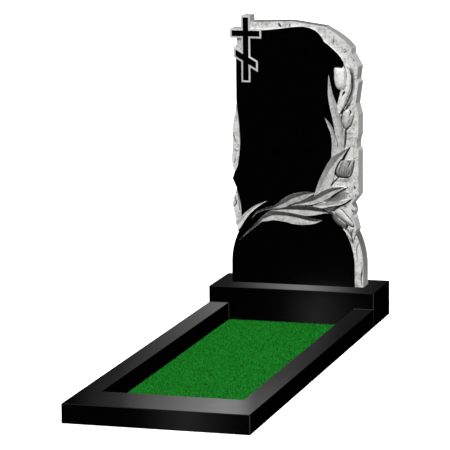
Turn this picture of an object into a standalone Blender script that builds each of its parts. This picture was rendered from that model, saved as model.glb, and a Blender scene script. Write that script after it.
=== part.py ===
"""Grave monument set: a carved upright stele on a plinth, with a kerb and a mat of artificial grass.

Metres, +Z up. The origin is on the ground, under the middle of the whole set.
The carved face looks along -Y, and the kerb lies in front of it.
"""
import bmesh
import bpy
import numpy as np
from mathutils.geometry import delaunay_2d_cdt

# Plinth and kerb
PLINTH_WIDTH = 0.500
PLINTH_DEPTH = 0.200
PLINTH_HEIGHT = 0.100
KERB_WIDTH = 0.500
KERB_LENGTH = 1.300
KERB_HEIGHT = 0.052
SIDE_BAR_WIDTH = 0.060
FRONT_BAR_DEPTH = 0.150
STONE_CHAMFER = 0.0015
TURF_THICKNESS = 0.006
TURF_MARGIN = 0.001
JOINT = 0.0003

# Stele: the slab and the depths that are cut into its polished front
STELE_WIDTH = 0.400
STELE_HEIGHT = 0.795
STELE_THICKNESS = 0.050
MARGIN_DEPTH = 0.006
LEAF_DEPTH = 0.005
CROSS_EDGE_DEPTH = 0.003

# The stele is drawn in millimetres on a blank of this size: u from its middle, v up from its foot
DRAWN_WIDTH = 400.0
DRAWN_HEIGHT = 795.0
CURVE_STEP = 9.0
CUT_WIDTH = 1.3
CUT_SLOPE = MARGIN_DEPTH / CUT_WIDTH
FULL_DEPTH_WIDTH = 10.0
WELD = 0.06
MITRE_LIMIT = 3.0
TOUCH = 1e-5

# Lower block of the stele: an elliptical arch on a straight foot, with a tooled margin on the right
ARCH_CENTRE = -12.5
ARCH_SPRING = 60.0
ARCH_HALF_WIDTH = 187.5
ARCH_RISE = 200.0
ARCH_MARGIN = 25.0
ARCH_MARGIN_RISE = 22.0
LEFT_SHOULDER = 150.0
RIGHT_SHOULDER = 160.0
ARCH_TOP_SEEN = 216.0

# Cross: polished face with a sloped tooled edge all round
CROSS_BEAM_CENTRE = -152.5
CROSS_ARM = 15.5
CROSS_EDGE = 6.0
CROSSBAR_DROP = 46.5
CROSSBAR_HALF_LENGTH = 41.5
FOOTREST_DROP = 75.5
CROSS_FOOT_DROP = 62.0
FOOTREST_HALF_LENGTH = 30.5
FOOTREST_SLOPE = -0.58
CROSS_TOP = DRAWN_HEIGHT - CROSS_EDGE
CROSSBAR_MIDDLE = CROSS_TOP - CROSSBAR_DROP
FOOTREST_MIDDLE = CROSSBAR_MIDDLE - FOOTREST_DROP
CROSS_FOOT = FOOTREST_MIDDLE - CROSS_FOOT_DROP

# Left edge above the lower block: a split edge, the polished tip, a second split edge, then a sawn edge
LEFT_SPLIT_LOW = [(-187, 175), (-195, 216), (-198, 234), (-193, 256), (-184, 284)]
POLISHED_TIP = (-196, 312)
LEFT_SPLIT_HIGH = [(-190, 330), (-199.5, 362), (-197, 404), (-197, 440), (-195, 474), (-187, 514),
                   (-182.5, 545)]
LEFT_MARGIN_LOW = [(-184, 284), (-178, 264), (-172, 240), (-170, 218), (-170, 200)]
LEFT_MARGIN_HIGH = [(-190, 330), (-180, 351), (-174, 392), (-172, 426), (-174, 470), (-178, 508),
                    (-182.5, 545)]
NOTCH_ABOVE_FOOTREST = [(-184, 1), (-181, 13)]

# Top and right edge: split in flat facets
TOP_FACETS = [(-138.5, 777), (-93, 778), (-16, 781), (43, 773), (87, 767), (120, 746), (148, 725),
              (166, 706)]
RIGHT_FACETS = [(166, 689), (187, 655), (183, 621), (189, 606), (179, 548), (188, 511), (188, 452),
                (183, 435), (183, 414), (188, 405), (188, 278), (172, 257), (175, 241), (167, 213),
                (178, 171)]

# Polished upper panel: its top edge, the shoulder behind the first bud, and its hidden edge behind the leaves
PANEL_TOP = [(-93, 754), (-49, 759), (-6, 765), (24, 766), (52, 759), (72, 744), (85, 724)]
PANEL_SHOULDER = [(85, 724), (103, 710), (127, 688), (140, 670), (146, 656)]
PANEL_BEHIND_LEAVES = [(140, 620), (134, 585), (127, 555), (123, 538), (122, 490), (126, 455),
                       (118, 420), (112, 385), (98, 345), (82, 310), (66, 275), (60, 250), (76, 236)]

# Leaves, from root to tip: u and v on the midrib, then the width on the left and on the right of it
LEAVES = {
    "low_left": [(-192, 160, 9, 12), (-180, 174, 10, 11), (-164, 194, 8, 8), (-147, 212, 6, 6),
                 (-129, 227, 4.5, 4.5), (-108, 239.5, 2, 2), (-90, 248, 0, 0)],
    "thin_left": [(110, 378, 5, 6), (112, 405, 5.5, 6), (112.5, 432, 5.5, 7), (108, 458, 5.5, 8),
                  (98, 481, 4.5, 5), (86, 502, 0, 0)],
    "tall": [(131, 384, 14, 14), (132, 410, 14, 14), (132.5, 440, 14.5, 14.5), (129, 470, 14, 14.5),
             (121, 503, 12.5, 13), (111.5, 537, 11, 11.5), (104, 566, 8, 8), (100, 598, 4, 4.2),
             (98, 628, 0, 0)],
    "hook_stem": [(124, 515, 4, 4), (127, 540, 4.5, 5), (132, 562, 5, 6), (137, 586, 5, 6)],
    "hook": [(128, 517, 2, 3), (141, 548, 5, 5.5), (151, 573, 6, 6.5), (157.5, 600, 6.5, 6.5),
             (159, 622, 7, 7), (155, 643, 5.5, 6), (146, 664, 0, 0)],
    "broad": [(56, 258, 8, 26), (63, 276, 8, 26), (80, 310, 13, 25), (98, 344, 14, 20),
              (118, 372, 16, 10), (140, 395, 9, 6), (161, 417, 0, 0)],
    "sweep_back": [(-138, 193, 0, 0), (-105, 213, 4, 4), (-67, 228, 10, 6), (-42, 241, 13, 11),
                   (-20, 254, 13.5, 13), (5, 264, 13, 14), (30, 273, 7, 11), (57, 278, 0, 1)],
    "sweep_low": [(-179, 125, 0, 0), (-149, 154, 2, 2), (-127, 173, 3.5, 3), (-108, 190, 7, 6),
                  (-92, 198, 10, 11), (-72, 205, 12, 14), (-38, 205, 12, 17), (-9, 202, 13, 20),
                  (16, 197, 11, 17), (40, 193, 9, 10.5), (60, 192, 7, 4), (77, 197, 0, 0)],
    "sweep_top": [(-20, 237, 0, 0), (21, 245, 8, 5), (45, 252, 13, 10), (69, 263, 13, 12.5),
                  (89, 275, 13, 13.5), (113, 286, 9.5, 10), (134, 293, 4.5, 5), (149, 295.5, 0, 0)],
    "sweep_mid": [(46, 238, 0, 0), (79, 240, 8, 8), (108, 244, 7, 7), (134, 251, 5, 5.5),
                  (163, 262, 0, 0)],
    "sweep_flat": [(-54, 222.5, 0, 0), (-30, 224, 7, 7), (-8, 224, 12, 11), (31, 224, 14, 16),
                   (60, 222, 11, 10), (82, 221, 4, 4), (98, 219, 0, 0)],
    "bud_leaf": [(138, 181, 6, 7), (152, 168, 6, 6), (163, 151, 4, 4), (171, 135, 0, 0)],
}

# Petals, drawn the same way, but domed up from the floor of the margin
PETALS = {
    "bud_high": [(134, 583, 3, 3), (133.5, 592, 13, 13.5), (132.5, 604, 17, 17.5), (132, 620, 19, 19.5),
                 (130.5, 638, 19.5, 19.5), (132, 650, 17, 16), (135, 657, 3, 3)],
    "bud_small": [(147, 468, 2, 2), (149, 478, 9, 10), (152, 493, 13, 14), (153, 507, 15, 16),
                  (152, 517, 11, 15), (153, 526, 0, 2)],
    "bud_open_left": [(126, 325, 2, 2), (120, 335, 4, 9), (122, 350, 4, 9), (130, 366, 3.5, 7),
                      (138, 380, 0, 0)],
    "bud_open": [(139, 322, 6, 6), (140, 330, 17, 15), (143, 344, 20, 22), (150, 360, 20, 20),
                 (154, 372, 15, 17), (160, 381, 4, 8)],
    "bud_open_right": [(150, 334, 2, 6), (160, 346, 5, 7), (167, 362, 4, 5), (172, 379, 0, 0)],
    "bud_low_under": [(106, 214, 5, 7), (118, 206, 9, 13), (133, 193, 9, 13), (148, 184, 8, 7),
                      (160, 178, 0, 0)],
    "bud_low": [(113, 219, 4, 3), (125, 221, 11, 10), (140, 212, 14, 12), (156, 198, 10, 10),
                (168, 186, 5, 4), (173, 178, 0, 0)],
}
PETAL_DOME = 0.006
PETAL_RINGS = (0.35, 0.7)

# What is carved over what, from the lowest to the highest
CARVING_ORDER = ["low_left", "thin_left", "tall", "hook_stem", "bud_high", "hook", "bud_small",
                 "broad", "sweep_back", "sweep_low", "sweep_top", "sweep_mid", "sweep_flat",
                 "bud_open", "bud_open_left", "bud_open_right", "bud_leaf", "bud_low_under", "bud_low"]

PLINTH_FRONT = (KERB_LENGTH - PLINTH_DEPTH) / 2
KERB_FRONT = PLINTH_FRONT - KERB_LENGTH
STELE_FRONT = PLINTH_FRONT + (PLINTH_DEPTH - STELE_THICKNESS) / 2


def smooth_rows(rows, step):
    """Points on a Catmull-Rom curve through the rows, about one step apart; any number of columns."""
    rows = np.array(rows, float)
    before = 2 * rows[0] - rows[1]
    after = 2 * rows[-1] - rows[-2]
    padded = np.vstack([before, rows, after])
    found = []
    for a, b, c, d in zip(padded, padded[1:], padded[2:], padded[3:]):
        pieces = max(1, int(round(np.hypot(*(c - b)[:2]) / step)))
        t = np.linspace(0, 1, pieces, endpoint=False)[:, None]
        found.append(b + 0.5 * t * (c - a + t * (2 * a - 5 * b + 4 * c - d + t * (3 * (b - c) + d - a))))
    return np.vstack(found + [rows[-1:]])


def arch(half_width, rise, shoulder, side, step):
    """Points up one side of an elliptical arch, from its spring to the height of the shoulder."""
    top = np.arcsin((shoulder - ARCH_SPRING) / rise)
    turns = np.linspace(0, top, max(3, int(half_width * top / step)))
    return [(ARCH_CENTRE + side * half_width * np.cos(a), ARCH_SPRING + rise * np.sin(a)) for a in turns]


def cross_face():
    """Outline of the cross, clockwise from its top left corner."""
    left = CROSS_BEAM_CENTRE - CROSS_ARM / 2
    right = CROSS_BEAM_CENTRE + CROSS_ARM / 2
    bar_low = CROSSBAR_MIDDLE - CROSS_ARM / 2
    bar_high = CROSSBAR_MIDDLE + CROSS_ARM / 2
    bar_left = CROSS_BEAM_CENTRE - CROSSBAR_HALF_LENGTH
    bar_right = CROSS_BEAM_CENTRE + CROSSBAR_HALF_LENGTH
    rest_half = CROSS_ARM / 2 * np.hypot(1, FOOTREST_SLOPE)
    rest_left = CROSS_BEAM_CENTRE - FOOTREST_HALF_LENGTH
    rest_right = CROSS_BEAM_CENTRE + FOOTREST_HALF_LENGTH

    def rest(u, side):
        return (u, FOOTREST_MIDDLE + FOOTREST_SLOPE * (u - CROSS_BEAM_CENTRE) + side * rest_half)

    return np.array([
        (left, CROSS_TOP), (right, CROSS_TOP),
        (right, bar_high), (bar_right, bar_high), (bar_right, bar_low), (right, bar_low),
        rest(right, 1), rest(rest_right, 1), rest(rest_right, -1), rest(right, -1),
        (right, CROSS_FOOT), (left, CROSS_FOOT),
        rest(left, -1), rest(rest_left, -1), rest(rest_left, 1), rest(left, 1),
        (left, bar_low), (bar_left, bar_low), (bar_left, bar_high), (left, bar_high)])


def grown(polygon, distance):
    """The clockwise polygon with every side moved outwards, corners mitred up to a limit."""
    apart = np.linalg.norm(polygon - np.roll(polygon, 1, axis=0), axis=1)
    polygon = polygon[apart > WELD]
    before = polygon - np.roll(polygon, 1, axis=0)
    after = np.roll(polygon, -1, axis=0) - polygon
    before /= np.linalg.norm(before, axis=1)[:, None]
    after /= np.linalg.norm(after, axis=1)[:, None]
    out_before = np.column_stack([-before[:, 1], before[:, 0]])
    out_after = np.column_stack([-after[:, 1], after[:, 0]])
    middle = out_before + out_after
    size = np.linalg.norm(middle, axis=1)
    reach = np.minimum(2 / size, MITRE_LIMIT)
    return polygon + distance * (reach / size)[:, None] * middle


def stele_outline(step):
    """The whole front outline, clockwise from the foot of the left side."""
    edge = grown(cross_face(), CROSS_EDGE)
    outline = [(-DRAWN_WIDTH / 2, 0)]
    outline += arch(ARCH_HALF_WIDTH, ARCH_RISE, LEFT_SHOULDER, -1, step)
    outline += list(smooth_rows(LEFT_SPLIT_LOW, step)) + [POLISHED_TIP]
    outline += list(smooth_rows(LEFT_SPLIT_HIGH, step))
    footrest_low, footrest_high = edge[13], edge[14]
    sawn = LEFT_SPLIT_HIGH[-1][0]
    meets = footrest_low[1] + FOOTREST_SLOPE * (sawn - footrest_low[0])
    arm_low, arm_high, inner_corner, beam_top = edge[17], edge[18], edge[19], edge[0]
    outline += [(sawn, meets), footrest_low, footrest_high]
    outline += [(u, footrest_high[1] + rise) for u, rise in NOTCH_ABOVE_FOOTREST]
    outline += [(NOTCH_ABOVE_FOOTREST[-1][0], arm_low[1]), arm_low, arm_high, inner_corner]
    outline += [beam_top, edge[1]]
    outline += TOP_FACETS + RIGHT_FACETS
    outline += arch(ARCH_HALF_WIDTH + ARCH_MARGIN, ARCH_RISE + ARCH_MARGIN_RISE, RIGHT_SHOULDER, 1, step)[::-1]
    outline += [(DRAWN_WIDTH / 2, 0)]
    return np.array(outline, float)


def polished_outline(step):
    """The polished area before the leaves are carved over it, clockwise from the foot of the left side."""
    area = [(-DRAWN_WIDTH / 2, 0)]
    area += arch(ARCH_HALF_WIDTH, ARCH_RISE, LEFT_SHOULDER, -1, step)
    area += list(smooth_rows(LEFT_MARGIN_LOW, step))[::-1] + [POLISHED_TIP]
    area += list(smooth_rows(LEFT_MARGIN_HIGH, step))
    area += [(LEFT_SPLIT_HIGH[-1][0], FOOTREST_MIDDLE), (CROSS_BEAM_CENTRE, FOOTREST_MIDDLE)]
    area += [(CROSS_BEAM_CENTRE, CROSSBAR_MIDDLE + CROSS_ARM / 2)]
    area += list(smooth_rows(PANEL_TOP, step)) + list(smooth_rows(PANEL_SHOULDER, step))[1:]
    area += PANEL_BEHIND_LEAVES
    area += arch(ARCH_HALF_WIDTH, ARCH_RISE, ARCH_TOP_SEEN, 1, step)[::-1]
    area += [(ARCH_CENTRE + ARCH_HALF_WIDTH, 0)]
    return np.array(area, float)


def leaf_form(name, step):
    """Closed outline, midrib and greatest half width of a leaf or petal."""
    samples = smooth_rows(LEAVES.get(name) or PETALS[name], step)
    rib = samples[:, :2]
    along = np.gradient(rib, axis=0)
    along /= np.linalg.norm(along, axis=1)[:, None]
    left = np.column_stack([-along[:, 1], along[:, 0]])
    widths = np.clip(samples[:, 2:], 0, None)
    outline = np.vstack([rib + left * widths[:, :1], (rib - left * widths[:, 1:])[::-1]])
    return outline, rib, widths.sum(axis=1).max() / 2


def inside(points, polygon):
    """Which points lie in the polygon, by crossing count."""
    u, v = points[:, 0], points[:, 1]
    hit = np.zeros(len(points), bool)
    for (u0, v0), (u1, v1) in zip(polygon, np.roll(polygon, -1, axis=0)):
        if v0 != v1:
            crosses = (v0 > v) != (v1 > v)
            hit ^= crosses & (u < u0 + (v - v0) * (u1 - u0) / (v1 - v0))
    return hit


def distance_to(points, line, closed=True):
    """Distance from each point to the nearest place on a line."""
    ends = np.roll(line, -1, axis=0) if closed else line[1:]
    starts = line if closed else line[:-1]
    nearest = np.full(len(points), np.inf)
    for start, end in zip(starts, ends):
        run = end - start
        t = np.clip((points - start) @ run / max(run @ run, 1e-9), 0, 1)
        nearest = np.minimum(nearest, np.linalg.norm(points - start - t[:, None] * run, axis=1))
    return nearest


def cut_to(height, rim, away):
    """Height outside a form: whatever lies there, joined to the form's rim by a steep cut."""
    return np.clip(height, rim - CUT_SLOPE * away, rim + CUT_SLOPE * away)


def relief(points):
    """Height of the front face at each drawn point, in metres; 0 is the polished face, minus is cut away."""
    area = polished_outline(CURVE_STEP)
    margin = np.full(len(points), -MARGIN_DEPTH)
    height = np.where(inside(points, area), 0.0, cut_to(margin, 0.0, distance_to(points, area)))
    for name in CARVING_ORDER:
        outline, rib, half = leaf_form(name, CURVE_STEP)
        within = inside(points, outline)
        away = distance_to(points, outline)
        if name in LEAVES:
            width = np.maximum(away + distance_to(points, rib, closed=False), WELD)
            shape = -LEAF_DEPTH * np.minimum(1, width / FULL_DEPTH_WIDTH) * away / width
            rim = 0.0
        else:
            reach = np.clip(away / half, 0, 1)
            shape = -MARGIN_DEPTH + PETAL_DOME * np.sqrt(reach * (2 - reach))
            rim = -MARGIN_DEPTH
        height = np.where(within, shape, cut_to(height, rim, away))
    face = cross_face()
    edge = grown(face, CROSS_EDGE)
    slope = np.where(inside(points, face), 0.0, -CROSS_EDGE_DEPTH * distance_to(points, face) / CROSS_EDGE)
    within = inside(points, edge)
    return np.where(within, slope, cut_to(height, -CROSS_EDGE_DEPTH, distance_to(points, edge)))


def drawing_lines():
    """Every line that the front face must follow: a list of (points, closed)."""
    area = polished_outline(CURVE_STEP)
    face = cross_face()
    lines = [(area, True), (grown(area, CUT_WIDTH), True)]
    lines += [(face, True), (grown(face, CROSS_EDGE), True), (grown(face, CROSS_EDGE + CUT_WIDTH), True)]
    for name in CARVING_ORDER:
        outline, rib, _ = leaf_form(name, CURVE_STEP)
        lines += [(outline, True), (grown(outline, CUT_WIDTH), True)]
        if name in LEAVES:
            lines.append((rib, False))
        else:
            middle = rib.mean(axis=0)
            lines += [(middle + (outline - middle) * (1 - share), True) for share in PETAL_RINGS]
    return lines


def triangulated(lines, outline):
    """Drawn points and triangles inside the outline, with every line kept as edges."""
    points = []
    edges = []
    for line, closed in [(outline, True)] + lines:
        first = len(points)
        count = len(line)
        points += [tuple(map(float, p)) for p in line]
        edges += [(first + i, first + (i + 1) % count) for i in range(count if closed else count - 1)]
    found, _, faces, _, _, _ = delaunay_2d_cdt(points, edges, [], 0, WELD)
    found = np.array([tuple(p) for p in found])
    faces = np.array([tuple(f) for f in faces])
    keep = inside(found[faces].mean(axis=1), outline)
    return found, faces[keep]


def material(name, colour, roughness):
    """A plain Principled material."""
    made = bpy.data.materials.new(name)
    made.use_nodes = True
    shader = made.node_tree.nodes["Principled BSDF"]
    shader.inputs["Base Color"].default_value = (*colour, 1)
    shader.inputs["Roughness"].default_value = roughness
    shader.inputs["Metallic"].default_value = 0.0
    return made


def add_object(name, mesh, surface):
    """Link a mesh to the scene as one named piece."""
    made = bpy.data.objects.new(name, mesh)
    made.data.materials.append(surface)
    bpy.context.scene.collection.objects.link(made)
    return made


def stele(surface):
    """The slab: carved front, straight side walls and a flat back, as one closed body."""
    outline = stele_outline(CURVE_STEP)
    points, faces = triangulated(drawing_lines(), outline)
    across = STELE_WIDTH / DRAWN_WIDTH
    up = STELE_HEIGHT / DRAWN_HEIGHT
    foot = PLINTH_HEIGHT + JOINT
    height = relief(points)
    mesh = bmesh.new()
    front = [mesh.verts.new((u * across, STELE_FRONT - h, foot + v * up))
             for (u, v), h in zip(points, height)]
    for face in faces:
        mesh.faces.new([front[i] for i in face])
    loose = [vert for vert in mesh.verts if not vert.link_faces]
    bmesh.ops.delete(mesh, geom=loose, context="VERTS")
    rim = [edge for edge in mesh.edges if edge.is_boundary]
    walls = bmesh.ops.extrude_edge_only(mesh, edges=rim)["geom"]
    behind = [item for item in walls if isinstance(item, bmesh.types.BMVert)]
    for vert in behind:
        vert.co.y = STELE_FRONT + STELE_THICKNESS
    back_rim = [edge for edge in mesh.edges if edge.is_boundary]
    bmesh.ops.triangle_fill(mesh, edges=back_rim, use_beauty=True)
    bmesh.ops.recalc_face_normals(mesh, faces=mesh.faces)
    data = bpy.data.meshes.new("stele")
    mesh.to_mesh(data)
    mesh.free()
    return add_object("stele", data, surface)


def stone_bar(name, low, high, chamfered, surface, cuts=()):
    """A sawn bar from its low to its high corner, chamfered along the edges that the test picks."""
    mesh = bmesh.new()
    bmesh.ops.create_cube(mesh, size=1)
    low, high = np.array(low), np.array(high)
    for vert in mesh.verts:
        vert.co = low + (np.array(vert.co) + 0.5) * (high - low)
    for place in cuts:
        whole = list(mesh.verts) + list(mesh.edges) + list(mesh.faces)
        bmesh.ops.bisect_plane(mesh, geom=whole, plane_co=(place, 0, 0), plane_no=(1, 0, 0), dist=TOUCH)
    picked = []
    for edge in mesh.edges:
        start, end = (np.array(vert.co) for vert in edge.verts)
        middle = (start + end) / 2
        on_side = np.minimum(abs(middle - low), abs(middle - high)) < TOUCH
        if on_side.sum() == 2 and chamfered(middle, low, high):
            picked.append(edge)
    bmesh.ops.bevel(mesh, geom=picked, offset=STONE_CHAMFER, segments=1, affect="EDGES", clamp_overlap=True)
    data = bpy.data.meshes.new(name)
    mesh.to_mesh(data)
    mesh.free()
    return add_object(name, data, surface)


def on_top(middle, low, high):
    """An edge of the top face."""
    return abs(middle[2] - high[2]) < TOUCH


def plinth_edge(middle, low, high):
    """Every edge of the plinth but those of its underside."""
    return middle[2] - low[2] > TOUCH


def side_bar_edge(middle, low, high):
    """The two long top edges of a side bar; its ends meet other stones."""
    return on_top(middle, low, high) and abs(middle[0] - (low[0] + high[0]) / 2) > TOUCH


def front_bar_edge(middle, low, high):
    """The front bar's free edges; its back edge stays sharp where the side bars meet it."""
    at_back = abs(middle[1] - high[1]) < TOUCH
    if at_back:
        return on_top(middle, low, high) and abs(middle[0]) < KERB_WIDTH / 2 - SIDE_BAR_WIDTH
    return middle[2] - low[2] > TOUCH


def build():
    """Make every piece of the set."""
    polished = material("polished_black_stone", (0.006, 0.006, 0.007), 0.12)
    carved = material("carved_black_stone", (0.30, 0.30, 0.30), 0.6)
    grass = material("artificial_grass", (0.015, 0.19, 0.02), 0.9)
    half = KERB_WIDTH / 2
    bed = half - SIDE_BAR_WIDTH
    bar_back = KERB_FRONT + FRONT_BAR_DEPTH
    plinth_half = PLINTH_WIDTH / 2
    stone_bar("plinth", (-plinth_half, PLINTH_FRONT, 0),
              (plinth_half, PLINTH_FRONT + PLINTH_DEPTH, PLINTH_HEIGHT), plinth_edge, polished)
    stone_bar("kerb_front", (-half, KERB_FRONT, 0), (half, bar_back, KERB_HEIGHT), front_bar_edge, polished,
              cuts=(-bed, bed))
    for name, left, right in (("kerb_left", -half, -bed), ("kerb_right", bed, half)):
        stone_bar(name, (left, bar_back + JOINT, 0), (right, PLINTH_FRONT - JOINT, KERB_HEIGHT),
                  side_bar_edge, polished)
    stone_bar("turf_mat", (-bed + TURF_MARGIN, bar_back + TURF_MARGIN, 0),
              (bed - TURF_MARGIN, PLINTH_FRONT - TURF_MARGIN, TURF_THICKNESS), lambda *edge: False, grass)
    stele(carved)


for old in list(bpy.data.objects):
    bpy.data.objects.remove(old, do_unlink=True)
build()
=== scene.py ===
# %% [markdown]
# # A carved black gravestone with its kerb
# This is the small monument that stonemasons in eastern Europe sell as a set: an upright slab
# of black gabbro, carved on its front and split by hammer along its edges, a plinth under it,
# and a low kerb of three bars round a mat of artificial grass. The stone is one and the same
# everywhere. What makes it black or nearly white is how its surface was worked, and that is
# the main thing to learn from this scene: polish is black, a tooled surface is pale.

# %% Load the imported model
import math

import bpy
import numpy as np
from mathutils import Matrix, Vector, noise
from mathutils.geometry import delaunay_2d_cdt


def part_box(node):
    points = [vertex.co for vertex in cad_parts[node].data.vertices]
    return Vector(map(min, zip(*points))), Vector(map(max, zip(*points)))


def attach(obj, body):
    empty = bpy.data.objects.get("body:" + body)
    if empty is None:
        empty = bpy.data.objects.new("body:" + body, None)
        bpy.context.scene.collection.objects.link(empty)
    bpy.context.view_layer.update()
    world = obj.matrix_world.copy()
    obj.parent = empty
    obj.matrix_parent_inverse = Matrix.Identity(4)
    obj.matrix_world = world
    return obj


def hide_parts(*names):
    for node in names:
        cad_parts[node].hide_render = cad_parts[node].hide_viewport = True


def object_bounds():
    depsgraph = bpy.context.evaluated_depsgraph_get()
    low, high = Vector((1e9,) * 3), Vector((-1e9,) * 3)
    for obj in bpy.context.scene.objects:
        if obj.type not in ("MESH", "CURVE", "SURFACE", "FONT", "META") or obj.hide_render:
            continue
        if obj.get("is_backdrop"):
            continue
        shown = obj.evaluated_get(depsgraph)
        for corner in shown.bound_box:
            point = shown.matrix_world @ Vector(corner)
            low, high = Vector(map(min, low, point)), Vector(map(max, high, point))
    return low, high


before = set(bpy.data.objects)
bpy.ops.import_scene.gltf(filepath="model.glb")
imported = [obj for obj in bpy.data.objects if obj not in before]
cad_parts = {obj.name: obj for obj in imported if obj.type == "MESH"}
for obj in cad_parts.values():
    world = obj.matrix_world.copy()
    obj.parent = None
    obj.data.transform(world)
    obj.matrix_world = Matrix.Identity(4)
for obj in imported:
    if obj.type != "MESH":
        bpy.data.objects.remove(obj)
cad_low, cad_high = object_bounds()
print("nodes:", ", ".join(sorted(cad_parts)))
print("CAD box in metres:", [round(high - low, 4) for low, high in zip(cad_low, cad_high)])

# %% [markdown]
# ## The camera
# The photograph looks down on the set from the front right, from far away through a long lens,
# so its edges run almost parallel. A camera can be aimed with constraints, but here the three
# angles were measured from the picture, so its matrix is built from them: where the camera
# looks, what is right and what is up, with a small roll.

# %% Camera
PICTURE_SIDE = 450
FOCAL_LENGTH_IN_PIXELS = 2942.93
SENSOR_WIDTH = 36.0
CAMERA_PLACE = Vector((2.2423, -7.6049, 1.8349))
CAMERA_AZIMUTH = math.radians(16.664)
CAMERA_TILT = math.radians(10.322)
CAMERA_ROLL = math.radians(-0.6)


def camera_axes(azimuth, tilt, roll):
    """Right, up and forward of a camera that looks along +Y, turned left, tilted down and rolled."""
    level = math.cos(tilt)
    forward = Vector((-math.sin(azimuth) * level, math.cos(azimuth) * level, -math.sin(tilt)))
    right = Vector((math.cos(azimuth), math.sin(azimuth), 0))
    up = right.cross(forward)
    rolled_right = math.cos(roll) * right + math.sin(roll) * up
    rolled_up = math.cos(roll) * up - math.sin(roll) * right
    return rolled_right, rolled_up, forward


camera_data = bpy.data.cameras.new("photo_camera")
camera_data.sensor_width = SENSOR_WIDTH
camera_data.lens = FOCAL_LENGTH_IN_PIXELS / PICTURE_SIDE * SENSOR_WIDTH
camera = bpy.data.objects.new("photo_camera", camera_data)
bpy.context.scene.collection.objects.link(camera)
view_right, view_up, view_forward = camera_axes(CAMERA_AZIMUTH, CAMERA_TILT, CAMERA_ROLL)
camera_turn = Matrix((view_right, view_up, -view_forward)).transposed().to_4x4()
camera.matrix_world = Matrix.Translation(CAMERA_PLACE) @ camera_turn
bpy.context.scene.camera = camera
print("lens:", round(camera_data.lens, 1), "mm")

# %% [markdown]
# ## Colours and nodes
# Colours are written as the hex values that one reads off a screen. Blender's shaders want
# linear light, so one function turns them. Another adds a node to a material with its settings
# and its links; a socket is named there by its label, or by an underscore and its number where
# several share a label. The patterns take their scale from a real size in millimetres.

# %% Colour and node helpers
def linear_grey(screen_grey):
    """A grey read off a screen, from 0 to 1, as linear light; takes a number or an array."""
    return np.where(screen_grey <= 0.04045, screen_grey / 12.92, ((screen_grey + 0.055) / 1.055) ** 2.4)


def linear(hex_colour):
    """A screen colour such as #1a2b3c as linear red, green, blue and alpha."""
    return (*(float(linear_grey(int(hex_colour[i:i + 2], 16) / 255)) for i in (1, 3, 5)), 1.0)


def per_metre(size_mm):
    """How many features of this size fit in a metre: the scale of a texture node."""
    return 1000.0 / size_mm


def add_node(tree, kind, settings=None, **sockets):
    """Add a node; settings are its properties, and each socket takes a value or another node's output."""
    made = tree.nodes.new(kind)
    for name, value in (settings or {}).items():
        setattr(made, name, value)
    for name, value in sockets.items():
        place = int(name[1:]) if name[0] == "_" else name.replace("_", " ")
        if isinstance(value, bpy.types.NodeSocket):
            tree.links.new(value, made.inputs[place])
        else:
            made.inputs[place].default_value = value
    return made


def new_material(name, roughness, ior=1.5):
    """A material with only its shader, and the tree and shader to build on."""
    made = bpy.data.materials.new(name)
    made.use_nodes = True
    shader = made.node_tree.nodes["Principled BSDF"]
    shader.inputs["Roughness"].default_value = roughness
    shader.inputs["IOR"].default_value = ior
    return made, made.node_tree, shader


print("mid grey #808080 is", round(linear("#808080")[0], 3), "in linear light")

# %% [markdown]
# ## Polished gabbro
# Gabbro is a coarse black stone of pyroxene and dark feldspar. Polished on a machine it is
# nearly black, with a wet look, and only close up shows crystals a millimetre or two wide.
# Those are cells of a Voronoi pattern with slightly different dark greys. They are drawn
# 2.5 mm wide so that they can show at all. The stone's index is about 1.55. No polish is quite
# even, so the roughness drifts a little over patches 60 mm wide.

# %% Polished gabbro
CRYSTAL = 2.5
POLISH_PATCH = 60.0
GABBRO_IOR = 1.55
FINEST_POLISH = 0.045
DULLEST_POLISH = 0.085


def polished_gabbro():
    """Black stone with a machine polish: deep black, with a wet shine."""
    made, tree, shader = new_material("polished_gabbro", FINEST_POLISH, GABBRO_IOR)
    place = add_node(tree, "ShaderNodeTexCoord").outputs["Object"]
    crystals = add_node(tree, "ShaderNodeTexVoronoi", Vector=place, Scale=per_metre(CRYSTAL))
    dark = add_node(tree, "ShaderNodeMix", {"data_type": "RGBA"}, _0=crystals.outputs["Color"],
                    _6=linear("#000000"), _7=linear("#050505"))
    tree.links.new(dark.outputs[2], shader.inputs["Base Color"])
    patches = add_node(tree, "ShaderNodeTexNoise", Vector=place, Scale=per_metre(POLISH_PATCH), Detail=2.0)
    gloss = add_node(tree, "ShaderNodeMapRange", Value=patches.outputs["Fac"],
                     To_Min=FINEST_POLISH, To_Max=DULLEST_POLISH)
    tree.links.new(gloss.outputs["Result"], shader.inputs["Roughness"])
    return made


polished = polished_gabbro()
print("polished stone:", len(polished.node_tree.nodes), "nodes")

# %% [markdown]
# ## Tooled and split gabbro
# A steel point or a bush hammer crushes the crystals, and the crushed surface scatters light:
# the same black stone turns pale grey. Where the mason rubs it fine again it darkens. So one
# number is enough for the whole carving: the grey that each spot was worked to. The same number
# also holds painted shade and painted highlights: the darker side of each leaf, the dark floors
# of the cuts and the hollow, the tints, and the greys of the sides set by which way they look.
# It is stored on the mesh as the attribute `grey`, and a second one, `grit`, says how coarse the
# tool was. The shader darkens the grey in clouds 16 mm and spots 7 mm wide, where the tool bit
# more or less, and in the crushed grain itself, and it adds the dents of the tool as bump. Stone
# that was split by hammer has the same grain, but it is more even, so its clouds are weaker.

# %% Worked gabbro
CLOUD = 16.0
MOTTLE = 7.0
TOOL_DENT = 2.6
CRUSHED_GRAIN = 1.3
CLOUDS_SHOW = (0.90, 1.30)
GRAIN_SHOWS = (0.4, 0.7)
GRAIN_LOSS = 0.14
DENT_DEPTH = 0.0004
TOOLED_MOTTLING = 0.55
SPLIT_MOTTLING = 0.20


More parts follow.
